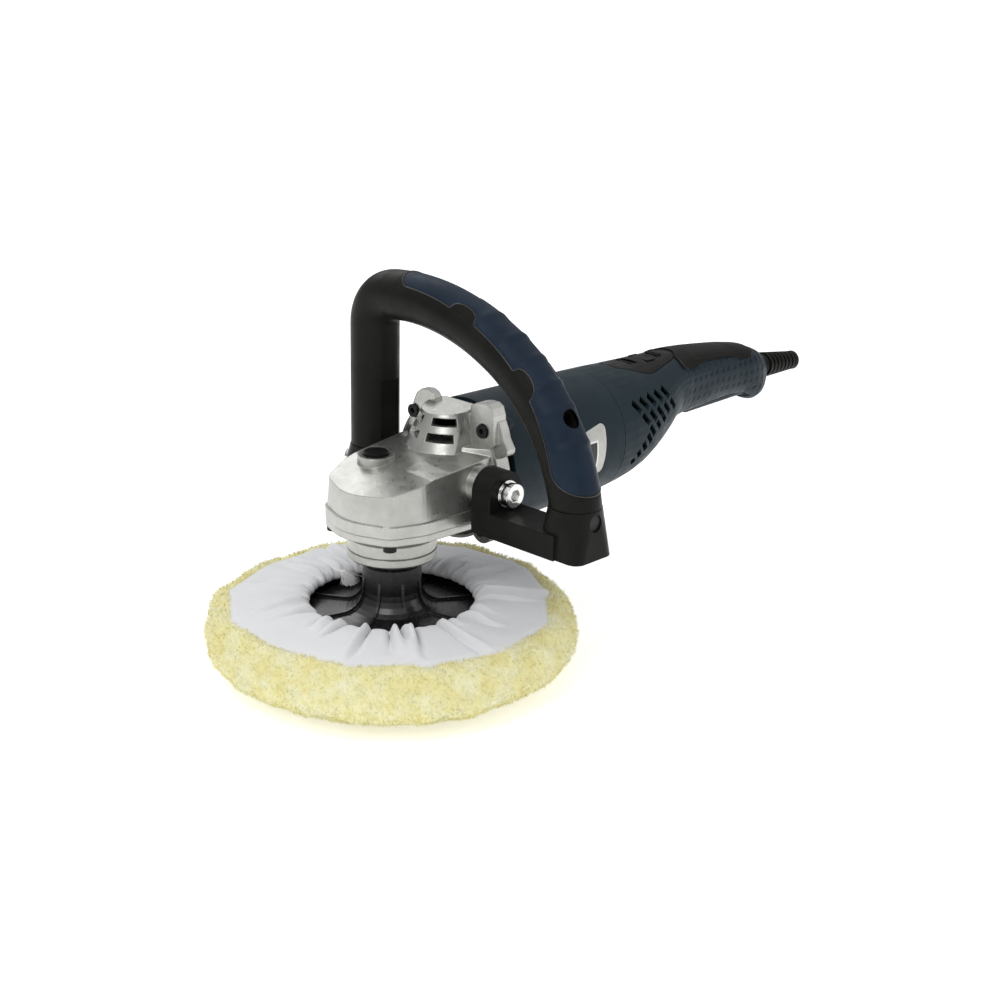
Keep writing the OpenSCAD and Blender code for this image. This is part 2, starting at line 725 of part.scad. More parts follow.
module vent_slots() {
    for (i = [0:4]) for (j = [0:1]) vent_slot(vent_first + i * vent_row + j * vent_col, 8.1);
    for (i = [0:2]) vent_slot(vent_first + i * vent_row + 2 * vent_col + i * [-1.2, 1.4], 8.1 - 1.9 * i);
    for (i = [0:3]) vent_slot(belly_first + i * belly_step, 7.9 - 1.2 * i);
}

module handle_shell(s) {
    color("#2d3746") {
        difference() {
            intersection() {
                rear_skin(0);
                translate([140, s > 0 ? 0.02 : -60.02, 50]) cube([200, 60, 110]);
            }
            rear_hollow();
            // vents on the flank
            translate([0, s > 0 ? 50 : 0, 0]) rotate([90, 0, 0]) linear_extrude(50) vent_slots();
            // gap for the trigger
            translate([234.5, -10, 88]) cube([67, 20, 18]);
            // bores of the screws and of the trigger's pin
            for (p = housing_screw_at) at_y(p[0], -9.6, p[1]) cylinder(r = 1.8, h = 30, $fn = 24);
            at_y(trigger_pin_at[0], -13.8, trigger_pin_at[1]) cylinder(r = 1.55, h = 27.6);
            // opening for the switch plate
            translate([0, 0, 130]) linear_extrude(20) offset(r = 0.3) plate_shape();
            // mouth for the strain relief
            lead_axis() translate([0, 0, -14]) cylinder(r = 7.4, h = 32);
            if (s > 0) for (p = housing_screw_at) at_y(p[0], 10, p[1]) cylinder(r = 3.8, h = 40, $fn = 24);
        }
        intersection() {
            union() {
                for (p = housing_screw_at) shell_boss(p, s);
                at_y(trigger_pin_at[0], s > 0 ? 11.2 : -40, trigger_pin_at[1]) ring(3.6, 1.55, 28.8);
            }
            rear_skin(-1.2);
        }
    }
}

module shell_boss(p, s) {
    at_y(p[0], s > 0 ? 0.02 : -40, p[1]) difference() {
        cylinder(r = 4.6, h = 39.98, $fn = 24);
        translate([0, 0, s > 0 ? -1 : 30.5]) cylinder(r = 1.8, h = 50, $fn = 24);
        if (s > 0) translate([0, 0, 9.98]) cylinder(r = 3.8, h = 50, $fn = 24);
    }
}

housing_screw_at = [[160, 77.5], [158, 130], [228, 129], [257, 125.6], [304.5, 97.6], [292, 119.8]];
trigger_pin_at = [241, 105.8];

module rear_housing_left() { handle_shell(1); }
module rear_housing_right() { handle_shell(-1); }

module housing_screws() {
    color("#26282a") for (p = housing_screw_at) at_y(p[0], -9, p[1]) {
        cylinder(r = 1.75, h = 20);
        translate([0, 0, 19.1]) cylinder(r = 3.4, h = 2.6);
    }
}

// Drop-shaped plate on top of the rear housing that holds the two controls
module plate_shape() {
    hull() {
        translate([191, 0]) circle(r = 17, $fn = 48);
        translate([215, 0]) circle(r = 11, $fn = 48);
        translate([170.5, 0]) square([1, 13], center = true);
    }
}

dial_x = 187.3;
lock_on_x = 201.6;

module switch_plate() {
    color("#222426") difference() {
        union() {
            intersection() {
                rear_skin(0.12, 1, 10);
                translate([0, 0, 130]) linear_extrude(20) plate_shape();
            }
            // pair of raised bars behind the windows
            for (x = [211.4, 214]) translate([x - 0.6, -4.6, 130]) cube([1.2, 9.2, 7.9]);
        }
        rear_skin(-shell_wall, 0, 11);
        at_y(dial_x, -6.2, dial_z) cylinder(r = 10.45, h = 12.4);
        translate([dial_x - 3.6, -6.2, 100]) cube([7.2, 12.4, 60]);
        translate([lock_on_x - 4, -8, 100]) cube([8, 16, 60]);
    }
}

dial_z = 126.9;

module speed_dial() {
    // thumbwheel that stands a little way out of its window
    color("#1a1b1c") at_y(dial_x, -5.6, dial_z) difference() {
        union() {
            cylinder(r = 9.6, h = 11.2);
            for (i = [0:23]) rotate([0, 0, 15 * i]) translate([9.4, -0.5, 0]) cube([0.8, 1, 11.2]);
        }
        translate([0, 0, -1]) cylinder(r = 2.04, h = 20);
    }
}

module lock_on_button() {
    color("#1a1b1c") {
        translate([lock_on_x - 3.5, -7.4, 128]) cube([7, 14.8, 9.3]);
        translate([lock_on_x - 2, -5, 125.4]) cube([4, 10, 2.8]);
    }
}

module speed_board() {
    color("darkgreen") {
        translate([168, -14, 111]) cube([36, 28, 1.6]);
        for (s = [-1, 1]) translate([dial_x - 3, s > 0 ? 6.2 : -8.2, 112.5]) cube([6, 2, 16.6]);
        at_y(dial_x, -8.2, dial_z) cylinder(r = 2, h = 16.4);
        translate([169, -10, 112.5]) cube([6, 14, 8]);
    }
}

module capacitor() {
    color("goldenrod") at_x(166, 0, 94) difference() {
        cylinder(r = 8, h = 24);
        translate([0, 0, 23]) cylinder(r = 5, h = 2);
    }
}

module switch_module() {
    color("#303236") {
        translate([208, -8, 110]) cube([40, 16, 12.4]);
        translate([264, -8, 110]) cube([22, 16, 10.6]);
        translate([247.9, -4, 112]) cube([16.2, 8, 6]);
        translate([270, -3, 108]) cube([8, 6, 2.1]);
    }
}

module trigger() {
    // paddle that hangs on a pin at its front end and swings up at the rear
    px = trigger_pin_at[0];
    pz = trigger_pin_at[1];
    color("#2a323e") difference() {
        union() {
            hull() {
                for (p = [[239.6, 100.4], [262, 101.5], [296, 101.2]]) for (s = [-1, 1])
                    translate([p[0], s * 5.4, p[1]]) sphere(r = 3.9, $fn = 20);
            }
            for (s = [-1, 1]) at_y(px, s > 0 ? 5.2 : -8.2, pz) cylinder(r = 3, h = 3);
            for (s = [-1, 1]) translate([px - 3, s > 0 ? 5.2 : -8.2, 101]) cube([6, 3, pz - 101]);
        }
        at_y(px, -12, pz) cylinder(r = 1.55, h = 24);
    }
}

module trigger_pin() {
    color("silver") at_y(trigger_pin_at[0], -13.5, trigger_pin_at[1]) cylinder(r = 1.5, h = 27);
}

// Rubber overlay on the back of the rear handle
module grip_shape() {
    polygon([
        [220.6, 131], [223, 129.3], [227, 128.6], [234, 128], [238, 129.6], [246, 130], [258, 129.2], [275, 127.6],
        [281, 124.9], [293, 124], [298, 126.4], [300, 150], [221, 150]]);
}

module top_grip() {
    color("#202224") difference() {
        intersection() {
            rear_skin(0.8, 7, 15);
            translate([0, 50, 0]) rotate([90, 0, 0]) linear_extrude(100) grip_shape();
        }
        translate([0, 0, 110]) linear_extrude(40) offset(r = 0.35) plate_shape();
        rear_skin(0.04, 6, 16);
    }
}

module lead_axis() { translate([322, 0, 110.2]) rotate([0, 94.5, 0]) children(); }

module strain_relief() {
    color("#18191a") lead_axis() difference() {
        union() {
            translate([0, 0, -12.4]) cylinder(r = 8.3, h = 3);
            translate([0, 0, -12]) cylinder(r = 7.3, h = 14);
            translate([0, 0, 1.9]) cylinder(r1 = 6.6, r2 = 5, h = 32);
            for (i = [0:6]) translate([0, 0, 3.2 + 4.5 * i]) cylinder(r1 = 8.2 - 0.32 * i, r2 = 8 - 0.32 * i, h = 2.8);
            translate([0, 0, 33.6]) cylinder(r = 6.1, h = 3.2);
            translate([0, 0, 36.7]) cylinder(r1 = 6.1, r2 = 5.4, h = 0.7);
        }
        translate([0, 0, -14]) cylinder(r = lead_r, h = 60);
    }
}

module cord_clamp() {
    color("#303236") {
        for (z = [105.2, 113.4]) difference() {
            translate([301, -7, z]) cube([7, 14, 2.4]);
            for (s = [-1, 1]) translate([304.5, 5.2 * s, z - 1]) cylinder(r = 1.35, h = 5);
        }
    }
}

module clamp_screws() {
    color("silver") for (s = [-1, 1]) translate([304.5, 5.2 * s, 105]) {
        cylinder(r = 1.3, h = 11);
        translate([0, 0, 10.9]) cylinder(r = 2.5, h = 1.6);
    }
}

// ---------------------------------------------------------------- front handle

near_seam = 109.6;
screw_z = 103;

module foot(y, low_y, high_y, half, top) {
    // block under the tube, flared a little towards its base
    hull() {
        translate([loop_x, y, top - 0.5]) cylinder(r = tube_r + 0.4, h = 0.2, $fn = 32);
        for (x = [loop_x - half + 6, loop_x + half - 6]) for (v = [low_y + 6, high_y - 6])
            translate([x, v, foot_low]) cylinder(r = 6, h = 0.2, $fn = 32);
    }
}

ear_x = 32;
ear_out = 52;

module near_bracket() {
    color("#262726") difference() {
        union() {
            foot(near_y + 0.4, near_y - 14.3, near_y + 15.5, 14.6, near_seam);
            hull() {
                at_y(ear_x, -ear_out, 105.1) cylinder(r = 12, h = ear_out - side_y, $fn = 48);
                translate([ear_x - 12, -ear_out, foot_low]) cube([24, ear_out - side_y, 4]);
            }
            translate([ear_x - 12, near_y, foot_low]) cube([24, -near_y - ear_out + 1, 13.2]);
        }
        at_y(bolt_x, -70, bolt_z) cylinder(r = 4.3, h = 40);
        at_y(loop_x, near_y - 30, screw_z) cylinder(r = 4.4, h = 20.5);
        at_y(loop_x, near_y - 30, screw_z) cylinder(r = 2.4, h = 30);
        translate([loop_x, near_y, foot_low + 8]) cylinder(r = 7, h = 30);
    }
}

module far_bracket() {
    color("#262726") difference() {
        foot(far_y, side_y, far_y + 15.5, 16, foot_z);
        at_y(bolt_x, side_y - 10, far_bolt_z) cylinder(r = 4.3, h = 60);
        at_y(bolt_x, far_y + 7, far_bolt_z) cylinder(r = 8, h = 40);
        translate([-10, side_y - 19.98, 60]) cube([100, 20, 70]);
        translate([loop_x, far_y, foot_z - 6]) cylinder(r = 7, h = 10);
    }
}

module bracket_bolt(long) {
    // socket head screw along +Z with its seat at 0, head above
    difference() {
        union() {
            cylinder(r = 6.4, h = 5);
            translate([0, 0, -long]) cylinder(r = 4, h = long + 0.5);
        }
        translate([0, 0, 1.5]) cylinder(r = 3.4, h = 6, $fn = 6);
    }
}

module bracket_bolts() {
    color("gainsboro") {
        translate([bolt_x, -ear_out - 1.9, bolt_z]) rotate([90, 0, 0]) bracket_bolt(23);
        at_y(bolt_x, far_y + 8.9, far_bolt_z) bracket_bolt(32);
    }
}

module bracket_washers() {
    color("silver") {
        at_y(bolt_x, -ear_out - 1.85, bolt_z) ring(7.2, 4.2, 1.8);
        at_y(bolt_x, far_y + 7.05, far_bolt_z) ring(7.2, 4.2, 1.8);
    }
}

// A sweep of the children along the handle's arc about c, between two angles
module loop_arc(c, r, from, to) {
    translate([loop_x, c[0], c[1]]) rotate([90, 0, 90]) rotate([0, 0, from])
        rotate_extrude(angle = to - from, $fn = 96) translate([r, 0]) children();
}

module grip_screw_axis() {
    translate([loop_x, low_c[0], low_c[1]]) rotate([90, 0, 90]) rotate([0, 0, grip_screw_at])
        rotate([0, 90, 0]) translate([0, 0, low_arc_r]) children();
}

// The tube's segments lap by a fraction of a millimetre and differ in radius by `step`
step = 0.05;
grip_deep = 2.05;
grip_edge = 8.4;
function lap(r) = 0.4 / r * 180 / PI;

module handle_frame() {
    color("#262726") difference() {
        union() {
            difference() {
                loop_arc(low_c, low_arc_r, grip_to, low_end + 4) circle(r = tube_r);
                translate([loop_x - 30, near_y - 30, near_seam - 48]) cube([60, 60, 48]);
            }
            loop_arc(low_c, low_arc_r, arc_turn, grip_to + lap(low_arc_r)) core_section(step);
            loop_arc(arc_c, arc_r, grip_from, arc_turn + lap(arc_r)) core_section(0);
            loop_arc(arc_c, arc_r, bend_turn, grip_from + lap(arc_r)) circle(r = tube_r + step);
            loop_arc([bend_y, bend_z], bend_r, 0, bend_turn + lap(bend_r)) circle(r = tube_r);
            translate([loop_x, far_y, foot_z]) cylinder(r = tube_r + step, h = bend_z + 0.4 - foot_z);
            // plugs that stand in the two feet
            translate([loop_x, far_y, foot_z - 5.5]) cylinder(r = 6.9, h = 6);
            translate([loop_x, near_y, foot_z - 16]) cylinder(r = 6.9, h = near_seam - foot_z + 16.5);
        }
        // flat on the inside of the far leg
        translate([loop_x - 20, far_y - 31.8, foot_z - 8]) cube([40, 20, 46]);
        grip_screw_axis() cylinder(r = 5, h = 20);
        grip_screw_axis() translate([0, 0, -9]) cylinder(r = 2.05, h = 20);
        at_y(loop_x, near_y - 30, screw_z) cylinder(r = 2.4, h = 45);
    }
}

// Section of the tube where the soft grip lies on it, on a shelf under the skin
module core_section(less) {
    difference() {
        circle(r = tube_r - less);
        difference() {
            translate([grip_edge - less, -20]) square([20, 40]);
            circle(r = tube_r - grip_deep - less);
        }
    }
}

module grip_section(less) {
    difference() {
        circle(r = tube_r - 0.1 - less);
        circle(r = tube_r - grip_deep + 0.05 + less);
        translate([-20 + grip_edge + 0.1 + less - 20, -20]) square([40, 40]);
    }
}

module handle_grip() {
    color("#2a3442") difference() {
        union() {
            loop_arc(low_c, low_arc_r, arc_turn - lap(low_arc_r), grip_to - 0.1) grip_section(step);
            loop_arc(arc_c, arc_r, grip_from + 0.5, arc_turn) grip_section(0);
        }
        grip_screw_axis() cylinder(r = 5.2, h = 20);
    }
}

module handle_screws() {
    color("#26282a") {
        at_y(loop_x, near_y - 10, screw_z) cylinder(r = 2.3, h = 14);
        at_y(loop_x, near_y - 12.6, screw_z) cylinder(r = 4.1, h = 3);
        grip_screw_axis() {
            translate([0, 0, 0.1]) cylinder(r = 4.6, h = 3);
            translate([0, 0, -8]) cylinder(r = 2, h = 8.5);
        }
    }
}

bonnet_wool();
bonnet_sleeve();
drawstring();
backing_plate();
thread_insert();
spindle_shaft();
ring_gear();
gear_key();
spindle_bearing_inner();
spindle_bearing_balls();
spindle_bearing_outer();
needle_bush();
dust_ring();
bearing_cover();
cover_screws();
gear_housing();
flange_screws();
lock_button();
lock_spring();
pinion();
pinion_nut();
armature_shaft();
armature_core();
armature_windings();
commutator();
cooling_fan();
front_bearing();
rear_bearing();
bearing_retainer();
fan_baffle();
motor_housing();
stator_core();
field_windings();
brush_holders();
carbon_brushes();
brush_springs();
name_plate();
rear_housing_left();
rear_housing_right();
housing_screws();
switch_plate();
speed_dial();
lock_on_button();
speed_board();
switch_module();
capacitor();
trigger();
trigger_pin();
top_grip();
strain_relief();
cord_clamp();
clamp_screws();
near_bracket();
far_bracket();
bracket_bolts();
bracket_washers();
handle_frame();
handle_grip();
handle_screws();
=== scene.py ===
# Looks for the rotary polisher: materials for the CAD nodes, and the woollen bonnet,
# its gathered sleeve, the drawstring and the front handle's soft grip as their own meshes.
import json
import math

import bmesh
import bpy
import numpy as np
from mathutils import Matrix, Vector, noise


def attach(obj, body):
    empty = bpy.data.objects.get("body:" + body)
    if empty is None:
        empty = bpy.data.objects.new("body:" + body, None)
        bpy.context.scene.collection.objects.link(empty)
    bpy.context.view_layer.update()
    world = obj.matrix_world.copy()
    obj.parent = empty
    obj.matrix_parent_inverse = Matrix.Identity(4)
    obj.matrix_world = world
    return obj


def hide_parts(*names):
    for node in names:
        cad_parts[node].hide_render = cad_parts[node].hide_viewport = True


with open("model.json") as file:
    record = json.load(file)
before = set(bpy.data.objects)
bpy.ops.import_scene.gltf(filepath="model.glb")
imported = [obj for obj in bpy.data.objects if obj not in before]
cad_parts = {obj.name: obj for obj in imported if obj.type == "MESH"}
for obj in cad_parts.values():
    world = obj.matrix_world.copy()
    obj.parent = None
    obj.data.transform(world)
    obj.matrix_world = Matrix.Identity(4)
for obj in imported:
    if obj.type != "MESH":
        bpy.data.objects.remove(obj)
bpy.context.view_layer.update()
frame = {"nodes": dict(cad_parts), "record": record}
MM = 0.001
RNG = np.random.default_rng(11)


# ---------------------------------------------------------------- camera, floor and lights

CAMERA_ANGLES = (-46.57, 19.54, 1.25)  # azimuth, elevation and roll in degrees
CAMERA_TARGET = (0.08241, 0, 0.07589)
CAMERA_DISTANCE = 1.00819


def place_camera():
    azimuth, elevation, roll = (math.radians(v) for v in CAMERA_ANGLES)
    back = Vector((
        math.sin(azimuth) * math.cos(elevation),
        -math.cos(azimuth) * math.cos(elevation),
        math.sin(elevation)))
    right = Vector((math.cos(azimuth), math.sin(azimuth), 0))
    up = back.cross(right)
    right, up = (
        math.cos(roll) * right + math.sin(roll) * up,
        -math.sin(roll) * right + math.cos(roll) * up)
    target = Vector(CAMERA_TARGET)
    data = bpy.data.cameras.new("camera")
    data.sensor_width = 36
    data.lens = 64.8
    data.clip_start = 0.05
    data.clip_end = 50
    camera = bpy.data.objects.new("camera", data)
    bpy.context.scene.collection.objects.link(camera)
    camera.matrix_world = Matrix.Translation(target + CAMERA_DISTANCE * back) @ Matrix((
        (right.x, up.x, back.x, 0),
        (right.y, up.y, back.y, 0),
        (right.z, up.z, back.z, 0),
        (0, 0, 0, 1)))
    bpy.context.scene.camera = camera


def add_light(name, place, aim, size, power):
    data = bpy.data.lights.new(name, "AREA")
    data.shape = "RECTANGLE"
    data.size, data.size_y = size
    data.energy = power
    light = bpy.data.objects.new(name, data)
    light.location = place
    light.rotation_euler = (Vector(aim) - Vector(place)).to_track_quat("-Z", "Y").to_euler()
    bpy.context.scene.collection.objects.link(light)


def build_stage():
    scene = bpy.context.scene
    scene.view_settings.view_transform = "Standard"
    world = bpy.data.worlds.new("world")
    world.use_nodes = True
    tree = world.node_tree
    background = tree.nodes["Background"]
    place = tree.nodes.new("ShaderNodeTexCoord")
    split = tree.nodes.new("ShaderNodeSeparateXYZ")
    shade = tree.nodes.new("ShaderNodeValToRGB")
    shade.color_ramp.elements[0].position = 0.05
    shade.color_ramp.elements[0].color = (0.22, 0.22, 0.23, 1)
    shade.color_ramp.elements[1].position = 0.75
    shade.color_ramp.elements[1].color = (1, 1, 1, 1)
    tree.links.new(place.outputs["Generated"], split.inputs[0])
    tree.links.new(split.outputs[2], shade.inputs["Fac"])
    background.inputs["Strength"].default_value = 0.95
    # what the camera sees past the floor is white, and only the light has the gradient
    seen = tree.nodes.new("ShaderNodeLightPath")
    choose = tree.nodes.new("ShaderNodeMix")
    choose.data_type = "RGBA"
    choose.inputs[7].default_value = (1.1, 1.1, 1.1, 1)
    tree.links.new(seen.outputs["Is Camera Ray"], choose.inputs["Factor"])
    tree.links.new(shade.outputs["Color"], choose.inputs[6])
    tree.links.new(choose.outputs[2], background.inputs["Color"])
    scene.world = world
    bpy.ops.mesh.primitive_plane_add(size=30, location=(0, 0, 0))
    floor = bpy.context.object
    floor.name = "floor"
    floor.data.materials.append(floor_material())
    add_light("key", (-1.3, -0.5, 1.5), (0.05, 0, 0.08), (1.0, 1.0), 11)
    add_light("rim", (0.6, 1.6, 1.3), (0.1, 0, 0.1), (1.4, 0.8), 6)
    add_light("side", (1.5, -1.7, 0.9), (0.15, 0, 0.08), (0.8, 1.4), 4)


# ---------------------------------------------------------------- materials

class Nodes:
    """A node material being built: short calls for nodes and their links."""

    def __init__(self, name):
        self.material = bpy.data.materials.new(name)
        self.material.use_nodes = True
        self.tree = self.material.node_tree
        self.shader = self.tree.nodes["Principled BSDF"]
        self.place = self.add("ShaderNodeTexCoord").outputs["Object"]

    def add(self, kind, **settings):
        node = self.tree.nodes.new(kind)
        for key, value in settings.items():
            setattr(node, key, value)
        return node

    def link(self, source, target):
        self.tree.links.new(source, target)

    def noise(self, scale, detail=3.0, rough=0.55, stretch=None):
        node = self.add("ShaderNodeTexNoise")
        node.inputs["Scale"].default_value = scale
        node.inputs["Detail"].default_value = detail
        node.inputs["Roughness"].default_value = rough
        place = self.place
        if stretch:
            mapping = self.add("ShaderNodeMapping")
            mapping.inputs["Scale"].default_value = stretch
            self.link(place, mapping.inputs["Vector"])
            place = mapping.outputs["Vector"]
        self.link(place, node.inputs["Vector"])
        return node.outputs["Fac"]

    def math(self, operation, a, b=None, clamp=False):
        node = self.add("ShaderNodeMath", operation=operation, use_clamp=clamp)
        for socket, value in zip(node.inputs, (a, b)):
            if value is None:
                continue
            if isinstance(value, (int, float)):
                socket.default_value = value
            else:
                self.link(value, socket)
        return node.outputs[0]

    def ramp(self, value, stops):
        node = self.add("ShaderNodeValToRGB")
        elements = node.color_ramp.elements
        while len(elements) < len(stops):
            elements.new(0.5)
        for element, (at, colour) in zip(elements, stops):
            element.position = at
            element.color = (*colour, 1)
        self.link(value, node.inputs["Fac"])
        return node.outputs["Color"]

    def spread(self, value, low, high, low_out, high_out):
        node = self.add("ShaderNodeMapRange")
        for socket, number in zip(node.inputs[1:5], (low, high, low_out, high_out)):
            socket.default_value = number
        self.link(value, node.inputs[0])
        return node.outputs[0]

    def mix(self, factor, a, b):
        node = self.add("ShaderNodeMix", data_type="RGBA")
        self.link(factor, node.inputs["Factor"])
        for socket, value in ((node.inputs[6], a), (node.inputs[7], b)):
            if isinstance(value, tuple):
                socket.default_value = (*value, 1)
            else:
                self.link(value, socket)
        return node.outputs[2]

    def bumps(self, layers, round_edge=0.0):
        """Bump layers as (height, strength, distance in metres), over edges rounded a little."""
        normal = None
        if round_edge:
            bevel = self.add("ShaderNodeBevel", samples=6)
            bevel.inputs["Radius"].default_value = round_edge
            normal = bevel.outputs["Normal"]
        for height, strength, distance in layers:
            bump = self.add("ShaderNodeBump")
            bump.inputs["Strength"].default_value = strength
            bump.inputs["Distance"].default_value = distance
            self.link(height, bump.inputs["Height"])
            if normal is not None:
                self.link(normal, bump.inputs["Normal"])
            normal = bump.outputs["Normal"]
        if normal is not None:
            self.link(normal, self.shader.inputs["Normal"])

    def axis(self, index):
        node = self.add("ShaderNodeSeparateXYZ")
        self.link(self.place, node.inputs[0])
        return node.outputs[index]

    def band(self, value, low, high, edge):
        """1 between two limits, 0 outside, with soft edges."""
        up = self.spread(value, low - edge, low + edge, 0, 1)
        down = self.spread(value, high - edge, high + edge, 1, 0)
        return self.math("MULTIPLY", up, down)


def floor_material():
    """Matt pale board that glows a little, as a lit studio table does."""
    n = Nodes("floor_pale")
    n.link(
        n.mix(n.noise(6, 2), (0.89, 0.89, 0.89), (0.90, 0.90, 0.90)),
        n.shader.inputs["Base Color"])
    n.shader.inputs["Roughness"].default_value = 0.9
    n.shader.inputs["Specular IOR Level"].default_value = 0.1
    n.shader.inputs["Emission Color"].default_value = (1, 1, 1, 1)
    n.shader.inputs["Emission Strength"].default_value = 0.42
    return n.material


DUST = 0.18  # how far a plastic's colour varies, as a share of it
PLASTIC_EDGE = 0.0004
PLASTIC_GRAIN = 2600


def plastic(name, colour, rough, spread=0.1, grain=0.25, grain_scale=PLASTIC_GRAIN, shine=0.09):
    """Moulded plastic: fine spark-eroded grain, faint cloudy variation and handling polish."""
    n = Nodes(name)
    cloud = n.noise(38, 4, 0.6)
    low = tuple(c * (1 - DUST) for c in colour)
    high = tuple(min(1, c * (1 + DUST) + 0.002) for c in colour)
    n.link(n.ramp(cloud, [(0.3, low), (0.7, high)]), n.shader.inputs["Base Color"])
    n.link(
        n.spread(n.noise(90, 4, 0.6), 0.3, 0.7, rough - spread, rough + spread),
        n.shader.inputs["Roughness"])
    n.shader.inputs["Specular IOR Level"].default_value = shine
    n.bumps([(n.noise(grain_scale, 2, 0.5), grain, 0.00012)], PLASTIC_EDGE)
    return n


def metal(name, colour, rough, grain_scale=900, grain=0.3, metallic=1.0, edge=0.0003, stretch=None):
    """Metal with a directional or cast grain and uneven roughness."""
    n = Nodes(name)
    n.shader.inputs["Metallic"].default_value = metallic
    cloud = n.noise(60, 5, 0.65)
    low = tuple(c * 0.88 for c in colour)
    n.link(n.ramp(cloud, [(0.3, low), (0.72, colour)]), n.shader.inputs["Base Color"])
    n.link(
        n.spread(n.noise(140, 4, 0.6), 0.3, 0.7, rough * 0.8, min(1, rough * 1.25)),
        n.shader.inputs["Roughness"])
    n.bumps([(n.noise(grain_scale, 3, 0.55, stretch), grain, 0.0001)], edge)
    return n


DIMPLES_X = (0.222, 0.312)
DIMPLES_Z = (0.1, 0.128)


def navy_plastic():
    """Body plastic, with small moulded dimples on the flanks of the rear handle, and painted shade
    in their hollows.
    """
    n = plastic("navy_plastic", (0.016, 0.027, 0.044), 0.44, grain=0.3)
    flat = n.add("ShaderNodeCombineXYZ")
    n.link(n.axis(0), flat.inputs[0])
    n.link(n.axis(2), flat.inputs[1])
    cells = n.add("ShaderNodeTexVoronoi", voronoi_dimensions="2D")
    cells.inputs["Scale"].default_value = 165
    cells.inputs["Randomness"].default_value = 0.15
    n.link(flat.outputs[0], cells.inputs["Vector"])
    dot = n.spread(cells.outputs["Distance"], 0.2, 0.3, 0, 1)
    zone = n.math(
        "MULTIPLY", n.band(n.axis(0), *DIMPLES_X, 0.006), n.band(n.axis(2), *DIMPLES_Z, 0.004))
    dimple = n.math("MULTIPLY", n.math("SUBTRACT", 1.0, dot), zone)
    height = n.math("SUBTRACT", 1.0, dimple)
    tones = [(0.3, (0.0145, 0.0245, 0.031)), (0.7, (0.0185, 0.030, 0.038))]
    base = n.ramp(n.noise(38, 4, 0.6), tones)
    # the dimples' hollows are painted a darker navy: painted shade, on top of their bumps
    n.link(n.mix(dimple, base, (0.008, 0.013, 0.022)), n.shader.inputs["Base Color"])
    n.bumps([(n.noise(PLASTIC_GRAIN, 2, 0.5), 0.3, 0.00012), (height, 0.9, 0.0004)], PLASTIC_EDGE)
    return n


def cast_alloy():
    """Blasted die-cast alloy: pale, warm, with fine pits and slightly brighter rubbed patches."""
    n = Nodes("cast_alloy")
    n.shader.inputs["Metallic"].default_value = 0.9
    cloud = n.noise(45, 6, 0.7)
    tones = [(0.28, (0.38, 0.38, 0.355)), (0.5, (0.44, 0.44, 0.415)), (0.75, (0.51, 0.51, 0.485))]
    n.link(n.ramp(cloud, tones), n.shader.inputs["Base Color"])
    n.link(n.spread(n.noise(220, 5, 0.65), 0.3, 0.7, 0.25, 0.37), n.shader.inputs["Roughness"])
    n.bumps([(n.noise(1100, 3, 0.6), 0.28, 0.0002), (n.noise(260, 2, 0.5), 0.15, 0.0004)], 0.0008)
    return n


PANEL_X = (0.09, 0.1235)
PANEL_Z = (0.0935, 0.1105)
INNER_X = (0.0905, 0.1225)
INNER_Z = (0.0945, 0.1095)
PANEL_EDGE = 0.0002


def name_foil():
    """Printed foil plate with a plain dark panel and a pale rim, and no lettering."""
    n = Nodes("plate_foil")
    n.shader.inputs["Metallic"].default_value = 0.5
    x, z = n.axis(0), n.axis(2)
    panel = n.math("MULTIPLY", n.band(x, *PANEL_X, PANEL_EDGE), n.band(z, *PANEL_Z, PANEL_EDGE))
    inner = n.math("MULTIPLY", n.band(x, *INNER_X, PANEL_EDGE), n.band(z, *INNER_Z, PANEL_EDGE))
    cloud = n.noise(300, 3)
    foil = n.ramp(cloud, [(0.35, (0.44, 0.44, 0.41)), (0.65, (0.52, 0.52, 0.49))])
    rim = n.mix(panel, foil, (0.80, 0.80, 0.78))
    n.link(n.mix(inner, rim, (0.035, 0.036, 0.038)), n.shader.inputs["Base Color"])
    n.link(n.spread(cloud, 0.3, 0.7, 0.34, 0.46), n.shader.inputs["Roughness"])
    n.bumps([(n.noise(1200, 2), 0.1, 0.0001)])
    return n


def wool_material():
    """Cream wool, in uneven patches from yellow to pale with a finer mottle over them."""
    n = Nodes("lambswool")
    patch = n.noise(85, 3, 0.55)
    tones = [(0.34, (0.76, 0.69, 0.28)), (0.5, (0.78, 0.74, 0.39)), (0.66, (0.80, 0.785, 0.55))]
    tone = n.ramp(patch, tones)
    strand = n.ramp(n.noise(420, 3, 0.6), [(0.3, (0.78, 0.74, 0.40)), (0.7, (0.84, 0.82, 0.60))])
    n.link(
        n.mix(n.spread(n.noise(900, 2), 0.35, 0.65, 0.1, 0.45), tone, strand),
        n.shader.inputs["Base Color"])
    n.link(n.spread(n.noise(500, 2), 0.3, 0.7, 0.78, 0.95), n.shader.inputs["Roughness"])
    n.shader.inputs["Sheen Weight"].default_value = 0.35
    n.shader.inputs["Sheen Roughness"].default_value = 0.5
    n.shader.inputs["Specular IOR Level"].default_value = 0.1
    n.bumps([(n.noise(1300, 3, 0.6), 0.4, 0.0003)])
    return n


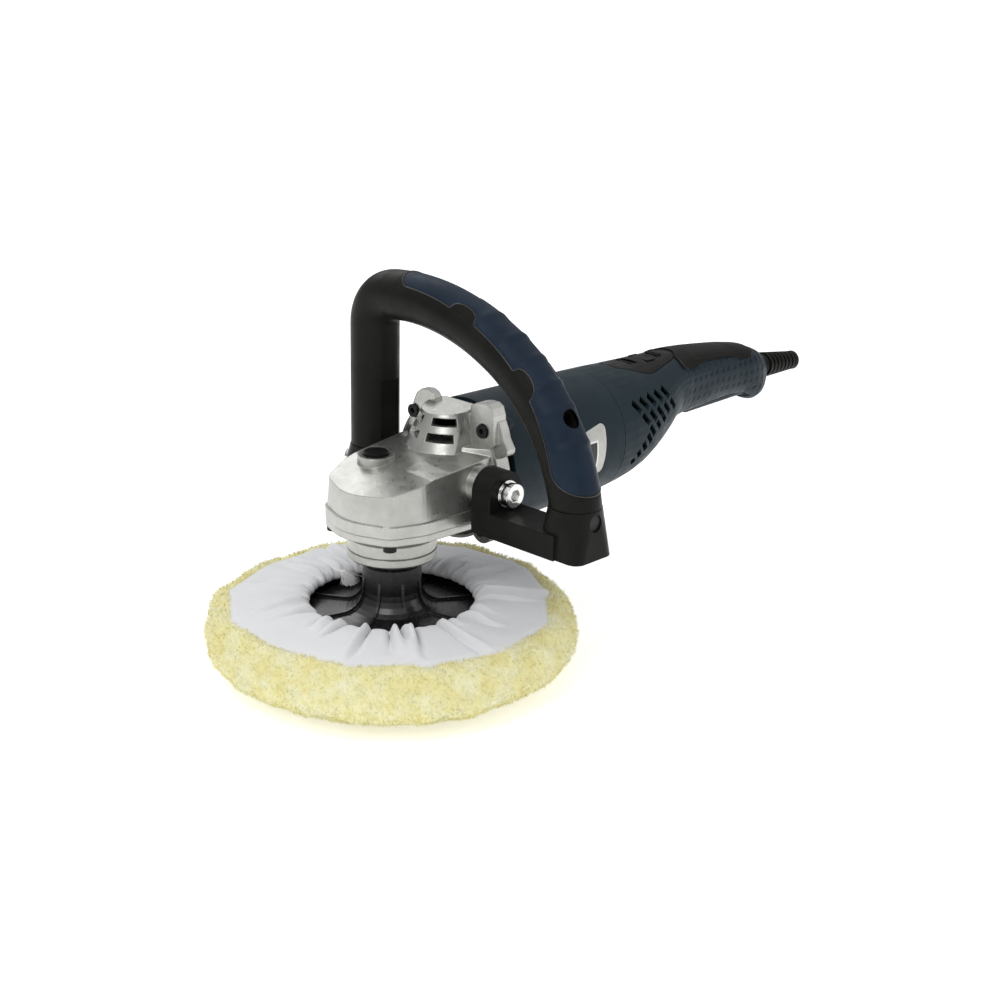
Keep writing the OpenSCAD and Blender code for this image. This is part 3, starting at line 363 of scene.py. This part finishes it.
def cloth_material(name, colour, thread=0.0007):
    """Plain woven cotton: threads from two crossed waves, with uneven tone and soft creasing."""
    n = Nodes(name)
    waves = []
    for direction in ("X", "Y"):
        wave = n.add("ShaderNodeTexWave", bands_direction=direction)
        wave.inputs["Scale"].default_value = 0.314 / thread
        wave.inputs["Distortion"].default_value = 0.4
        n.link(n.place, wave.inputs["Vector"])
        waves.append(wave.outputs["Fac"])
    weave = n.math("MULTIPLY", waves[0], waves[1])
    cloud = n.noise(55, 4, 0.6)
    low = tuple(c * 0.93 for c in colour)
    n.link(n.mix(cloud, low, colour), n.shader.inputs["Base Color"])
    n.link(n.spread(weave, 0, 1, 0.93, 0.8), n.shader.inputs["Roughness"])
    n.shader.inputs["Sheen Weight"].default_value = 0.25
    n.shader.inputs["Specular IOR Level"].default_value = 0.2
    n.bumps([(weave, 0.25, 0.0002), (n.noise(140, 4, 0.6), 0.3, 0.0006)])
    return n


def build_materials():
    made = {
        "lambswool": wool_material(),
        "bonnet_cloth": cloth_material("bonnet_cloth", (0.75, 0.755, 0.77)),
        "white_cotton": cloth_material("white_cotton", (0.88, 0.88, 0.88), 0.0005),
        "black_rubber": plastic("black_rubber", (0.006, 0.006, 0.007), 0.26, 0.06, 0.12, shine=0.6),
        "steel": metal("steel", (0.60, 0.60, 0.60), 0.26, stretch=(1, 1, 8)),
        "dark_steel": metal("dark_steel", (0.20, 0.20, 0.21), 0.34),
        "bright_steel": metal("bright_steel", (0.80, 0.80, 0.78), 0.13, 500, 0.12, edge=0.0006),
        "cast_alloy": cast_alloy(),
        "black_screw": metal("black_screw", (0.016, 0.016, 0.017), 0.46, 700, 0.2, metallic=0.6),
        "black_plastic": plastic("black_plastic", (0.0052, 0.0054, 0.0048), 0.40),
        "charcoal_plastic": plastic("charcoal_plastic", (0.008, 0.008, 0.007), 0.40, grain=0.35),
        "navy_plastic": navy_plastic(),
        "navy_rubber": plastic("navy_rubber", (0.0105, 0.0195, 0.034), 0.42, 0.08, 0.3, 1900),
        "grip_rubber": plastic("grip_rubber", (0.0066, 0.0067, 0.0058), 0.48, 0.08, 0.4, 1500),
        "core_steel": metal("core_steel", (0.30, 0.31, 0.32), 0.4, stretch=(30, 1, 1)),
        "enamelled_copper": metal("enamelled_copper", (0.52, 0.19, 0.06), 0.3, stretch=(1, 14, 1)),
        "bare_copper": metal("bare_copper", (0.78, 0.40, 0.22), 0.28),
        "brass": metal("brass", (0.72, 0.56, 0.26), 0.3),
        "carbon": plastic("carbon", (0.02, 0.02, 0.02), 0.6),
        "plate_foil": name_foil(),
        "board_green": plastic("board_green", (0.006, 0.03, 0.014), 0.4),
        "film_yellow": plastic("film_yellow", (0.62, 0.42, 0.06), 0.3),
    }
    return {key: getattr(value, "material", value) for key, value in made.items()}


def dress_cad_nodes(materials):
    """Every CAD node gets the material of its slot in the record."""
    slots = {entry["node"]: entry["material_slot"] for entry in frame["record"]["subparts"]}
    for name, obj in frame["nodes"].items():
        obj.data.materials.clear()
        obj.data.materials.append(materials[slots[name]])


# ---------------------------------------------------------------- mesh helpers

def mesh_piece(name, points, faces, body, material):
    """A smooth-shaded piece that rides on a body."""
    mesh = bpy.data.meshes.new(name)
    mesh.from_pydata([tuple(p) for p in points], [], [tuple(int(i) for i in f) for f in faces])
    mesh.validate()
    mesh.update()
    mesh.polygons.foreach_set("use_smooth", [True] * len(mesh.polygons))
    mesh.materials.append(material)
    obj = bpy.data.objects.new(name, mesh)
    bpy.context.scene.collection.objects.link(obj)
    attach(obj, body)
    return obj


def grid_faces(rows, columns, wrap_columns=True):
    """Quads of a grid of points stored row by row."""
    faces = []
    last = columns if wrap_columns else columns - 1
    for i in range(rows - 1):
        for j in range(last):
            k = (j + 1) % columns
            low, high = i * columns, (i + 1) * columns
            faces.append((low + j, low + k, high + k, high + j))
    return faces


def ring_points(radius, height, theta):
    """Points in metres, row by row, from radii and heights in mm and the columns' angles."""
    return np.stack(
        [radius * np.cos(theta), radius * np.sin(theta), height], -1).reshape(-1, 3) * MM


def unit(vectors, least=0.0):
    """The vectors at length 1, each divided by no less than the least length given."""
    return vectors / np.maximum(np.linalg.norm(vectors, axis=1, keepdims=True), least)


def fbm(points, scale, octaves=3, seed=0.0):
    """Smooth noise of about -1 to 1 at each point, in a fixed pattern."""
    out = np.empty(len(points))
    shift = Vector((seed * 7.3, seed * 3.1, seed * 5.7))
    for i, p in enumerate(points):
        v = Vector(p) * scale + shift
        out[i] = noise.fractal(v, 1.0, 2.0, octaves)
    return out


def smooth_profile(points, count):
    """Even points along a smooth curve (Catmull-Rom) through an open list of points."""
    p = np.array(points, float)
    ext = np.vstack([2 * p[0] - p[1], p, 2 * p[-1] - p[-2]])
    dense = []
    for i in range(len(p) - 1):
        a, b, c, d = ext[i:i + 4]
        for t in np.linspace(0, 1, 24, endpoint=False):
            dense.append(0.5 * (2 * b + (c - a) * t + (2 * a - 5 * b + 4 * c - d) * t * t
                                + (3 * b - a - 3 * c + d) * t ** 3))
    dense.append(p[-1])
    dense = np.array(dense)
    run = np.concatenate([[0], np.cumsum(np.linalg.norm(np.diff(dense, axis=0), axis=1))])
    at = np.linspace(0, run[-1], count)
    return np.stack([np.interp(at, run, dense[:, k]) for k in range(dense.shape[1])], 1)


# ---------------------------------------------------------------- the bonnet

FLOOR_GAP = 0.0003  # the lowest any wool reaches, in metres
STRANDS = 52000
SLEEVE_THICK = 0.0005


def hem_radius(theta):
    """Where the sleeve meets the wool, in metres: long straight runs between blunt corners."""
    corners = 13
    turn = (theta / (2 * math.pi) * corners + 0.35) % 1.0
    flat = 1 / np.cos((turn - 0.5) * 2 * math.pi / corners)
    wave = 0.9 * np.sin(3 * theta + 0.6) + 0.8 * np.sin(5 * theta + 2.1)
    wave = wave + 0.5 * np.sin(8 * theta + 4.0)
    return (86.4 * flat / flat.max() + 1.6 + wave) * MM


def wool_mesh(material):
    """A lathed pad with tufted relief, under a coat of short curved strands."""
    outline = [
        (0, 0.3), (20, 0.3), (40, 0.3), (52, 0.5), (68, 2.4), (82, 6.4), (92.5, 12), (98.4, 18),
        (100, 23), (99.6, 28.5), (96.6, 34.3), (92.4, 38), (89.0, 39.4), (86.2, 39.2), (84.4, 37.4),
        (84.0, 35.4)]
    rows, columns = 96, 420
    profile = smooth_profile(outline, rows)
    theta = np.linspace(0, 2 * math.pi, columns, endpoint=False)
    radius = np.repeat(profile[:, :1], columns, 1)
    height = np.repeat(profile[:, 1:2], columns, 1)
    # the pad's rim follows the sleeve's uneven edge, and its outer wall swells and dips a little
    share = np.clip((profile[:, 0] - 80) / 6, 0, 1) * np.clip((profile[:, 1] - 30) / 8, 0, 1)
    radius = radius + share[:, None] * (hem_radius(theta)[None, :] / MM - 86)
    soft = 0.9 * np.sin(2 * theta + 1.0) + 0.8 * np.sin(5 * theta + 0.3) + 0.7 * np.sin(9 * theta)
    soft = soft + 0.6 * np.sin(14 * theta + 2.0) + 0.5 * np.sin(23 * theta + 1.0)
    wall = np.clip((profile[:, 0] - 70) / 25, 0, 1)
    radius = radius + wall[:, None] * (soft * 0.55 - 0.9)[None, :]
    base = ring_points(radius, height, theta)
    faces = grid_faces(rows, columns)
    normal = surface_normals(base, rows, columns)
    tuft = fbm(base, 75, 2, 1.0) * 1.3 + fbm(base, 230, 2, 2.0) * 0.35
    lift = np.repeat(np.clip((profile[:, 0] - 30) / 30, 0.1, 1), columns)
    points = base + normal * (tuft * lift * MM)[:, None]
    points[:, 2] = np.maximum(points[:, 2], FLOOR_GAP)
    strands, strand_faces = wool_strands(points, normal, rows, columns, len(points))
    obj = mesh_piece(
        "wool_pad", np.vstack([points, strands]), faces + strand_faces, "spindle", material)
    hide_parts("bonnet_wool")


def surface_normals(points, rows, columns):
    """Outward normals of a lathed grid whose rows run from the bottom centre up the outside."""
    grid = points.reshape(rows, columns, 3)
    along = np.gradient(grid, axis=0)
    around = np.roll(grid, -1, 1) - np.roll(grid, 1, 1)
    normal = np.cross(around, along)
    size = np.linalg.norm(normal, axis=-1, keepdims=True)
    normal = np.where(size > 1e-12, normal / np.maximum(size, 1e-12), (0, 0, -1.0))
    return normal.reshape(-1, 3)


def wool_strands(points, normal, rows, columns, start):
    """Bent ribbons of a quad and a triangle that lean in tufts, densest where the pad shows."""
    count = STRANDS
    row = rows * (0.22 + 0.775 * RNG.random(count) ** 0.85)
    pick = np.minimum(row.astype(int), rows - 2) * columns + RNG.integers(0, columns, count)
    root = points[pick] + RNG.normal(0, 0.35 * MM, (count, 3))
    up = normal[pick]
    flow = np.stack([fbm(root, 60, 2, s) for s in (3.0, 4.0, 5.0)], 1)
    lean = flow * 1.6 + RNG.normal(0, 0.55, (count, 3))
    lean -= up * (lean * up).sum(1, keepdims=True)
    # on the top edge the wool brushes over the sleeve's hem
    inward = np.clip((root[:, 2] / MM - 36) / 3, 0, 1)[:, None]
    radial = root * (1, 1, 0)
    radial = unit(radial, 1e-9)
    lean -= radial * inward * 0.35
    length = (RNG.uniform(0.9, 2.6, count) * MM)[:, None]
    first = unit(up * 0.62 + lean * 0.45)
    second = unit(up * 0.05 + lean * 0.9 + RNG.normal(0, 0.25, (count, 3)))
    bend = root + first * length * 0.5
    tip = bend + second * length * 0.6
    side = unit(np.cross(first, RNG.normal(0, 1, (count, 3))))
    side *= (RNG.uniform(0.12, 0.22, count) * MM)[:, None]
    sunk = root - up * 0.5 * MM
    corners = [sunk - side, sunk + side, bend + side * 0.8, bend - side * 0.8, tip]
    all_points = np.stack(corners, 1).reshape(-1, 3)
    all_points[:, 2] = np.maximum(all_points[:, 2], FLOOR_GAP)
    faces = []
    for k in range(start, start + len(corners) * count, len(corners)):
        faces.append((k, k + 1, k + 2, k + 3))
        faces.append((k + 3, k + 2, k + 4))
    return all_points, faces


def sleeve_mesh(material):
    """The gathered cloth over the plate: puffed between creases that run out from the drawn hem."""
    outline = [
        (49.6, 36.4), (47.4, 37.3), (45.4, 38.2), (44.9, 39.6), (45.7, 41.2), (47.6, 42.2),
        (50.5, 42.6), (56, 42.6), (64, 42.1), (73, 41.3), (80, 40.7), (84, 40.0), (86.2, 38.6),
        (87.0, 37.0)]
    rows, columns = 72, 620
    profile = smooth_profile(outline, rows)
    theta = np.linspace(0, 2 * math.pi, columns, endpoint=False)
    radius = np.repeat(profile[:, :1], columns, 1)
    height = np.repeat(profile[:, 1:2], columns, 1)
    run = np.clip((profile[:, 0] - 46) / 40, 0, 1)
    stretch = (hem_radius(theta) / MM - 87.0)[None, :] * (run ** 1.5)[:, None]
    radius = radius + stretch
    relief, pucker = sleeve_relief(theta, run, rows)
    opening = np.clip(1 - run * 6, 0, 1)[:, None]
    radius = radius + opening * pucker[None, :] * 0.5
    over = np.clip((np.arange(rows) / rows - 0.12) / 0.12, 0, 1)[:, None]
    height = height + relief * over
    base = ring_points(radius, height, theta)
    wrinkle = fbm(base, 70, 3, 6.0) * 0.5 * np.repeat(over[:, 0] * (1 - run * 0.5), columns) * MM
    base[:, 2] += wrinkle
    obj = mesh_piece(
        "bonnet_sleeve_cloth", base, grid_faces(rows, columns), "spindle", material)
    solid = obj.modifiers.new("thickness", "SOLIDIFY")
    solid.thickness = SLEEVE_THICK
    solid.offset = -1
    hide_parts("bonnet_sleeve")


def sleeve_relief(theta, run, rows):
    """Height of the folds in mm at each row and angle, and the puckers along the drawn edge."""
    relief = np.zeros((rows, len(theta)))
    creases = 34
    for k in range(creases):
        centre = 2 * math.pi * (k + RNG.uniform(-0.35, 0.35)) / creases
        slant = RNG.uniform(-0.13, 0.13)
        width = RNG.uniform(0.012, 0.030)
        depth = RNG.uniform(0.5, 1.0) ** 2 * 6.2
        reach = RNG.uniform(0.3, 1.3)
        off = (theta[None, :] - centre - slant * run[:, None] + math.pi) % (2 * math.pi) - math.pi
        wide = width * (1 + 0.7 * run[:, None])
        fade = np.clip(1 - run / reach, 0, 1)[:, None] ** 0.7
        # a sharp valley with a rounded ridge on one side
        valley = -np.exp(-(off / wide) ** 2) * 0.9
        ridge = np.exp(-((off - 1.9 * wide * np.sign(slant)) / (1.3 * wide)) ** 2) * 0.75
        relief += (valley + ridge) * depth * fade
    puff = 0.8 * np.sin(7 * theta + 1.2) + 0.7 * np.sin(11 * theta + 0.4)
    puff = puff + 0.5 * np.sin(17 * theta + 2.0)
    relief += puff[None, :] * np.sin(run * math.pi)[:, None] * 0.55
    pucker = np.sin(theta * 41 + 1.5 * np.sin(3 * theta)) * 0.9 + np.sin(theta * 23 + 1.0) * 0.6
    return relief, pucker


KNOT_AZIMUTH = 84  # degrees round the hem
KNOT_REACH, KNOT_HEIGHT, KNOT_RADIUS = 44.6, 40.0, 2.3
YARNS = 220
YARN_LOWEST = 35.6  # mm, just over the backing plate


def drawstring_mesh(material):
    """A three-strand cord round the hem, with its knot and frayed ends hanging into the opening."""
    ring, middle, thick = 46.6, 39.4, 1.25
    turns, sides = 720, 14
    around = np.linspace(0, 2 * math.pi, turns, endpoint=False)
    section = np.linspace(0, 2 * math.pi, sides, endpoint=False)
    lobe = 1 + 0.13 * np.cos(3 * (section[None, :] - 46 * around[:, None]))
    radius = ring + thick * lobe * np.cos(section)[None, :]
    height = middle + thick * lobe * np.sin(section)[None, :]
    points = ring_points(radius, height, around[:, None])
    faces = []
    for i in range(turns):
        for j in range(sides):
            a, b = i * sides + j, i * sides + (j + 1) % sides
            c, d = ((i + 1) % turns) * sides + (j + 1) % sides, ((i + 1) % turns) * sides + j
            faces.append((a, b, c, d))
    parts, count = [points], len(points)
    azimuth = math.radians(KNOT_AZIMUTH)
    out = np.array((math.cos(azimuth), math.sin(azimuth), 0))
    across = np.array((-math.sin(azimuth), math.cos(azimuth), 0))
    knot = out * KNOT_REACH + (0, 0, KNOT_HEIGHT)
    # the knot, then the yarns, each a tapered three-sided fibre
    ball = bmesh.new()
    bmesh.ops.create_icosphere(ball, subdivisions=4, radius=1)
    verts = np.array([v.co[:] for v in ball.verts])
    swell = 1 + 0.16 * np.sin(verts[:, 2] * 5 + verts[:, 0] * 4) + 0.1 * fbm(verts, 2.5, 2, 8.0)
    parts.append((knot + verts * (KNOT_RADIUS * swell)[:, None]) * MM)
    faces += [tuple(count + v.index for v in f.verts) for f in ball.faces]
    count += len(verts)
    ball.free()
    for _ in range(YARNS):
        spread = RNG.normal(0, 1, 3)
        length = RNG.uniform(6.5, 11)
        heading = -out * 0.72 + np.array((0, 0, -0.62)) + spread * 0.2
        path = [knot - out * 0.8 + spread * 0.45]
        for step in range(4):
            droop = np.array((0, 0, -0.10 * step))
            heading = heading + droop + RNG.normal(0, 0.11, 3) + across * RNG.normal(0, 0.07)
            heading /= np.linalg.norm(heading)
            path.append(path[-1] + heading * length / 4)
        for k, point in enumerate(path):
            point[2] = max(point[2], YARN_LOWEST)
            wide = 0.28 * (1 - 0.2 * k)
            top = np.array((0, 0, 1.0)) * wide - across * wide * 0.5
            corner = [across * wide, top, -across * wide * 0.6]
            parts.append(np.array([(point + c) * MM for c in corner]))
        for k in range(4):
            for j in range(3):
                a, b = count + 3 * k + j, count + 3 * k + (j + 1) % 3
                faces.append((a, b, b + 3, a + 3))
        count += 15
    obj = mesh_piece(
        "drawstring_rope", np.vstack(parts), faces, "spindle", material)
    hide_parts("drawstring")


# ---------------------------------------------------------------- the front handle's soft grip

# the loop in mm: its plane, the tube, and its two arcs as centre Y, centre Z and radius
LOOP_X = 36.2
TUBE_R = 13.4
UPPER = (20.9, 57.0, 138.0)
LOWER = (3.476, 88.96, 101.6)
# places along the loop, in degrees of turn
ARC_TURN = 118.6
SCREW_AT = 145.8
SKIN_ENDS = (88.6, 165.6)
SEAM_ENDS = (88.5, 165.8)
BED_ENDS = (87.9, 166.6)
BED_EDGE = 36.0  # degrees above the side of the tube
WELL_RADIUS = 5.15
FINGER_RIDGES = (112.5, 119.5, 127.5, 135.5, 142.5, 152.5)
SEAM_LIFT = 0.06
SEAM_RADIUS = 0.42
# how far the skin stands over the tube and how far it swells from there, then the bed under it
SKIN_LIFT, SKIN_PROUD = 0.06, 0.30
BED_LIFT = 0.03


def loop_point(turn, radial, sideways):
    """A point of the handle's tube: degrees along the loop, then mm outward and sideways."""
    centre_y, centre_z, radius = UPPER if turn <= ARC_TURN else LOWER
    a = math.radians(turn)
    reach = radius + radial
    return (
        (LOOP_X + sideways) * MM,
        (centre_y + reach * math.cos(a)) * MM,
        (centre_z + reach * math.sin(a)) * MM)


def grip_edge(turn):
    """Where the soft grip's parting line runs, in degrees above the side of the tube."""
    marks = [
        (88, 38), (100, 37), (112, 34), (122, 30), (136, 22), (146, 14), (154, 6), (160, 0),
        (166.2, -3)]
    edge = float(np.interp(turn, [m[0] for m in marks], [m[1] for m in marks]))
    for middle, reach in ((108.2, 3.4), (132.2, 4.6)):
        near = abs(turn - middle) / reach
        if near < 1:
            edge += 24 * math.sqrt(1 - near * near) ** 0.8
    return edge


def skin_edge(turn, start, end):
    """The parting line's angle with the grip's two ends rounded off."""
    base = grip_edge(turn)
    for near, reach in ((turn - start, 3.4), (end - turn, 9.0)):
        if near < reach:
            base = 90 - (90 - base) * math.sqrt(max(0.0, 1 - (1 - near / reach) ** 2)) ** 1.1
    return min(base, 89.2)


def finger_relief(turn, over):
    """Height of the finger grooves in mm: rounded ridges across the outer side."""
    ridge = 0.0
    for at in FINGER_RIDGES:
        gap = (turn - at) / 1.25
        ridge += math.exp(-gap * gap)
    return (0.85 * ridge - 0.3) * max(0.0, math.sin(math.radians(over))) ** 1.5


def grip_mesh(name, ends, proud, rounded, material, low):
    """A skin over the outer side of the tube, with turned-in edges."""
    start, end = ends
    rows, columns = 260, 64
    points = []
    for i in range(rows):
        turn = start + (end - start) * i / (rows - 1)
        base = skin_edge(turn, start, end) if rounded else BED_EDGE
        for j in range(columns):
            # the outermost columns turn down into the tube
            across = (j - 2) / (columns - 5)
            over = base + (180 - 2 * base) * min(1.0, max(0.0, across))
            rim = min(j, columns - 1 - j)
            side = min(across, 1 - across) * (180 - 2 * base) if 0 <= across <= 1 else 0
            grooves = finger_relief(turn, over) if rounded else 0
            lift = proud * (1 - math.exp(-side / 2.2)) + grooves
            radius = TUBE_R + low + lift
            if rim == 1:
                radius = TUBE_R + low - 0.05
            elif rim == 0:
                radius = TUBE_R - 1.4
            angle = math.radians(over)
            points.append(loop_point(turn, radius * math.sin(angle), -radius * math.cos(angle)))
    faces = grid_faces(rows, columns, wrap_columns=False)
    # the screw's well is left open
    well = np.array(loop_point(SCREW_AT, TUBE_R, 0))
    spots = np.array(points)[np.array(faces)].mean(1)
    faces = [f for f, d in zip(faces, np.linalg.norm(spots - well, axis=1)) if d > WELL_RADIUS * MM]
    return mesh_piece(name, points, faces, "housing", material)


def tube_mesh(name, path, radius, closed, material, sides=6):
    """A thin round bead along a path of points."""
    path = np.array(path)
    count = len(path)
    if closed:
        ahead, behind = np.roll(path, -1, 0), np.roll(path, 1, 0)
    else:
        ahead, behind = np.vstack([path[1:], path[-1:]]), np.vstack([path[:1], path[:-1]])
    along = unit(ahead - behind, 1e-9)
    first = unit(np.cross(along, (0.31, 0.52, 0.79)))
    second = np.cross(along, first)
    points = []
    for k in range(sides):
        a = 2 * math.pi * k / sides
        points.append(path + radius * (math.cos(a) * first + math.sin(a) * second))
    points = np.stack(points, 1).reshape(-1, 3)
    faces = grid_faces(count, sides)
    if closed:
        last = (count - 1) * sides
        faces += [
            (last + j, last + (j + 1) % sides, (j + 1) % sides, j) for j in range(sides)]
    else:
        last = (count - 1) * sides
        faces += [tuple(range(sides))[::-1], tuple(last + j for j in range(sides))]
    return mesh_piece(name, points, faces, "housing", material)


def grip_outline(ends):
    """The soft grip's parting line: along one side of the tube and back along the other."""
    start, end = ends
    rows = 420
    sides = [[], []]
    for i in range(rows):
        # points crowd towards the two rounded ends
        share = 0.5 - 0.5 * math.cos(math.pi * i / (rows - 1))
        turn = start + (end - start) * share
        over = math.radians(skin_edge(turn, start, end) - 0.6)
        reach = TUBE_R + SEAM_LIFT
        for side, sign in zip(sides, (-1, 1)):
            side.append(loop_point(turn, reach * math.sin(over), sign * reach * math.cos(over)))
    return sides[0] + sides[1][::-1]


def handle_skin(materials):
    """The soft grip, the dark line round it, and the handle's own colour under its rounded ends."""
    tube_mesh(
        "grip_seam", grip_outline(SEAM_ENDS), SEAM_RADIUS * MM, True, materials["black_rubber"])
    skin = grip_mesh(
        "grip_skin", SKIN_ENDS, SKIN_PROUD, True, materials["navy_rubber"],
        SKIN_LIFT)
    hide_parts("handle_grip")
    grip_mesh(
        "grip_bed", BED_ENDS, 0.0, False, materials["grip_rubber"], BED_LIFT)


# ---------------------------------------------------------------- the rear handle's shadow lines

REAR_SHADOW_LINE_RADIUS = 0.22  # mm
RAY_FROM = 0.06  # metres out from the middle plane, clear of the shells


def surface_line(outline, side, nodes):
    """Points of an outline in X and Z, in mm, dropped onto the nodes' surface from one side."""
    path = []
    for (x0, z0), (x1, z1) in zip(outline, outline[1:]):
        steps = max(2, int(math.hypot(x1 - x0, z1 - z0) / 0.7))
        for k in range(steps):
            x, z = x0 + (x1 - x0) * k / steps, z0 + (z1 - z0) * k / steps
            best = None
            for node in nodes:
                hit, place, _, _ = frame["nodes"][node].ray_cast(
                    Vector((x * MM, side * RAY_FROM, z * MM)), Vector((0, -side, 0)),
                    distance=RAY_FROM)
                if hit and (best is None or side * place.y > side * best.y):
                    best = place
            if best is not None:
                path.append(tuple(best))
    return path


def rear_seam_shadows(materials):
    """Thin dark beads along the joints between the soft top grip and the shells: painted shadow in
    the joints.
    """
    edge = [
        (222, 136.6), (222.2, 131.6), (223.6, 129.4), (227, 128.5), (234, 127.9), (238, 129.4),
        (246, 129.9), (258, 129.1), (275, 127.5), (281, 124.8), (292.5, 123.9), (297, 126)]
    shells = ("rear_housing_left", "rear_housing_right", "top_grip")
    for side, name in ((-1, "near"), (1, "far")):
        path = np.array(surface_line(edge, side, shells))
        for _ in range(4):
            path[1:-1] = (path[:-2] + 2 * path[1:-1] + path[2:]) / 4
        # each bead is a painted shadow line standing in for the shade in the joint
        tube_mesh(
            "top_grip_shadow_line_" + name, path, REAR_SHADOW_LINE_RADIUS * MM, False,
            materials["black_rubber"])


# ---------------------------------------------------------------- everything together

def main():
    place_camera()
    materials = build_materials()
    dress_cad_nodes(materials)
    drawstring_mesh(materials["white_cotton"])
    wool_mesh(materials["lambswool"])
    sleeve_mesh(materials["bonnet_cloth"])
    handle_skin(materials)
    rear_seam_shadows(materials)
    build_stage()


main()
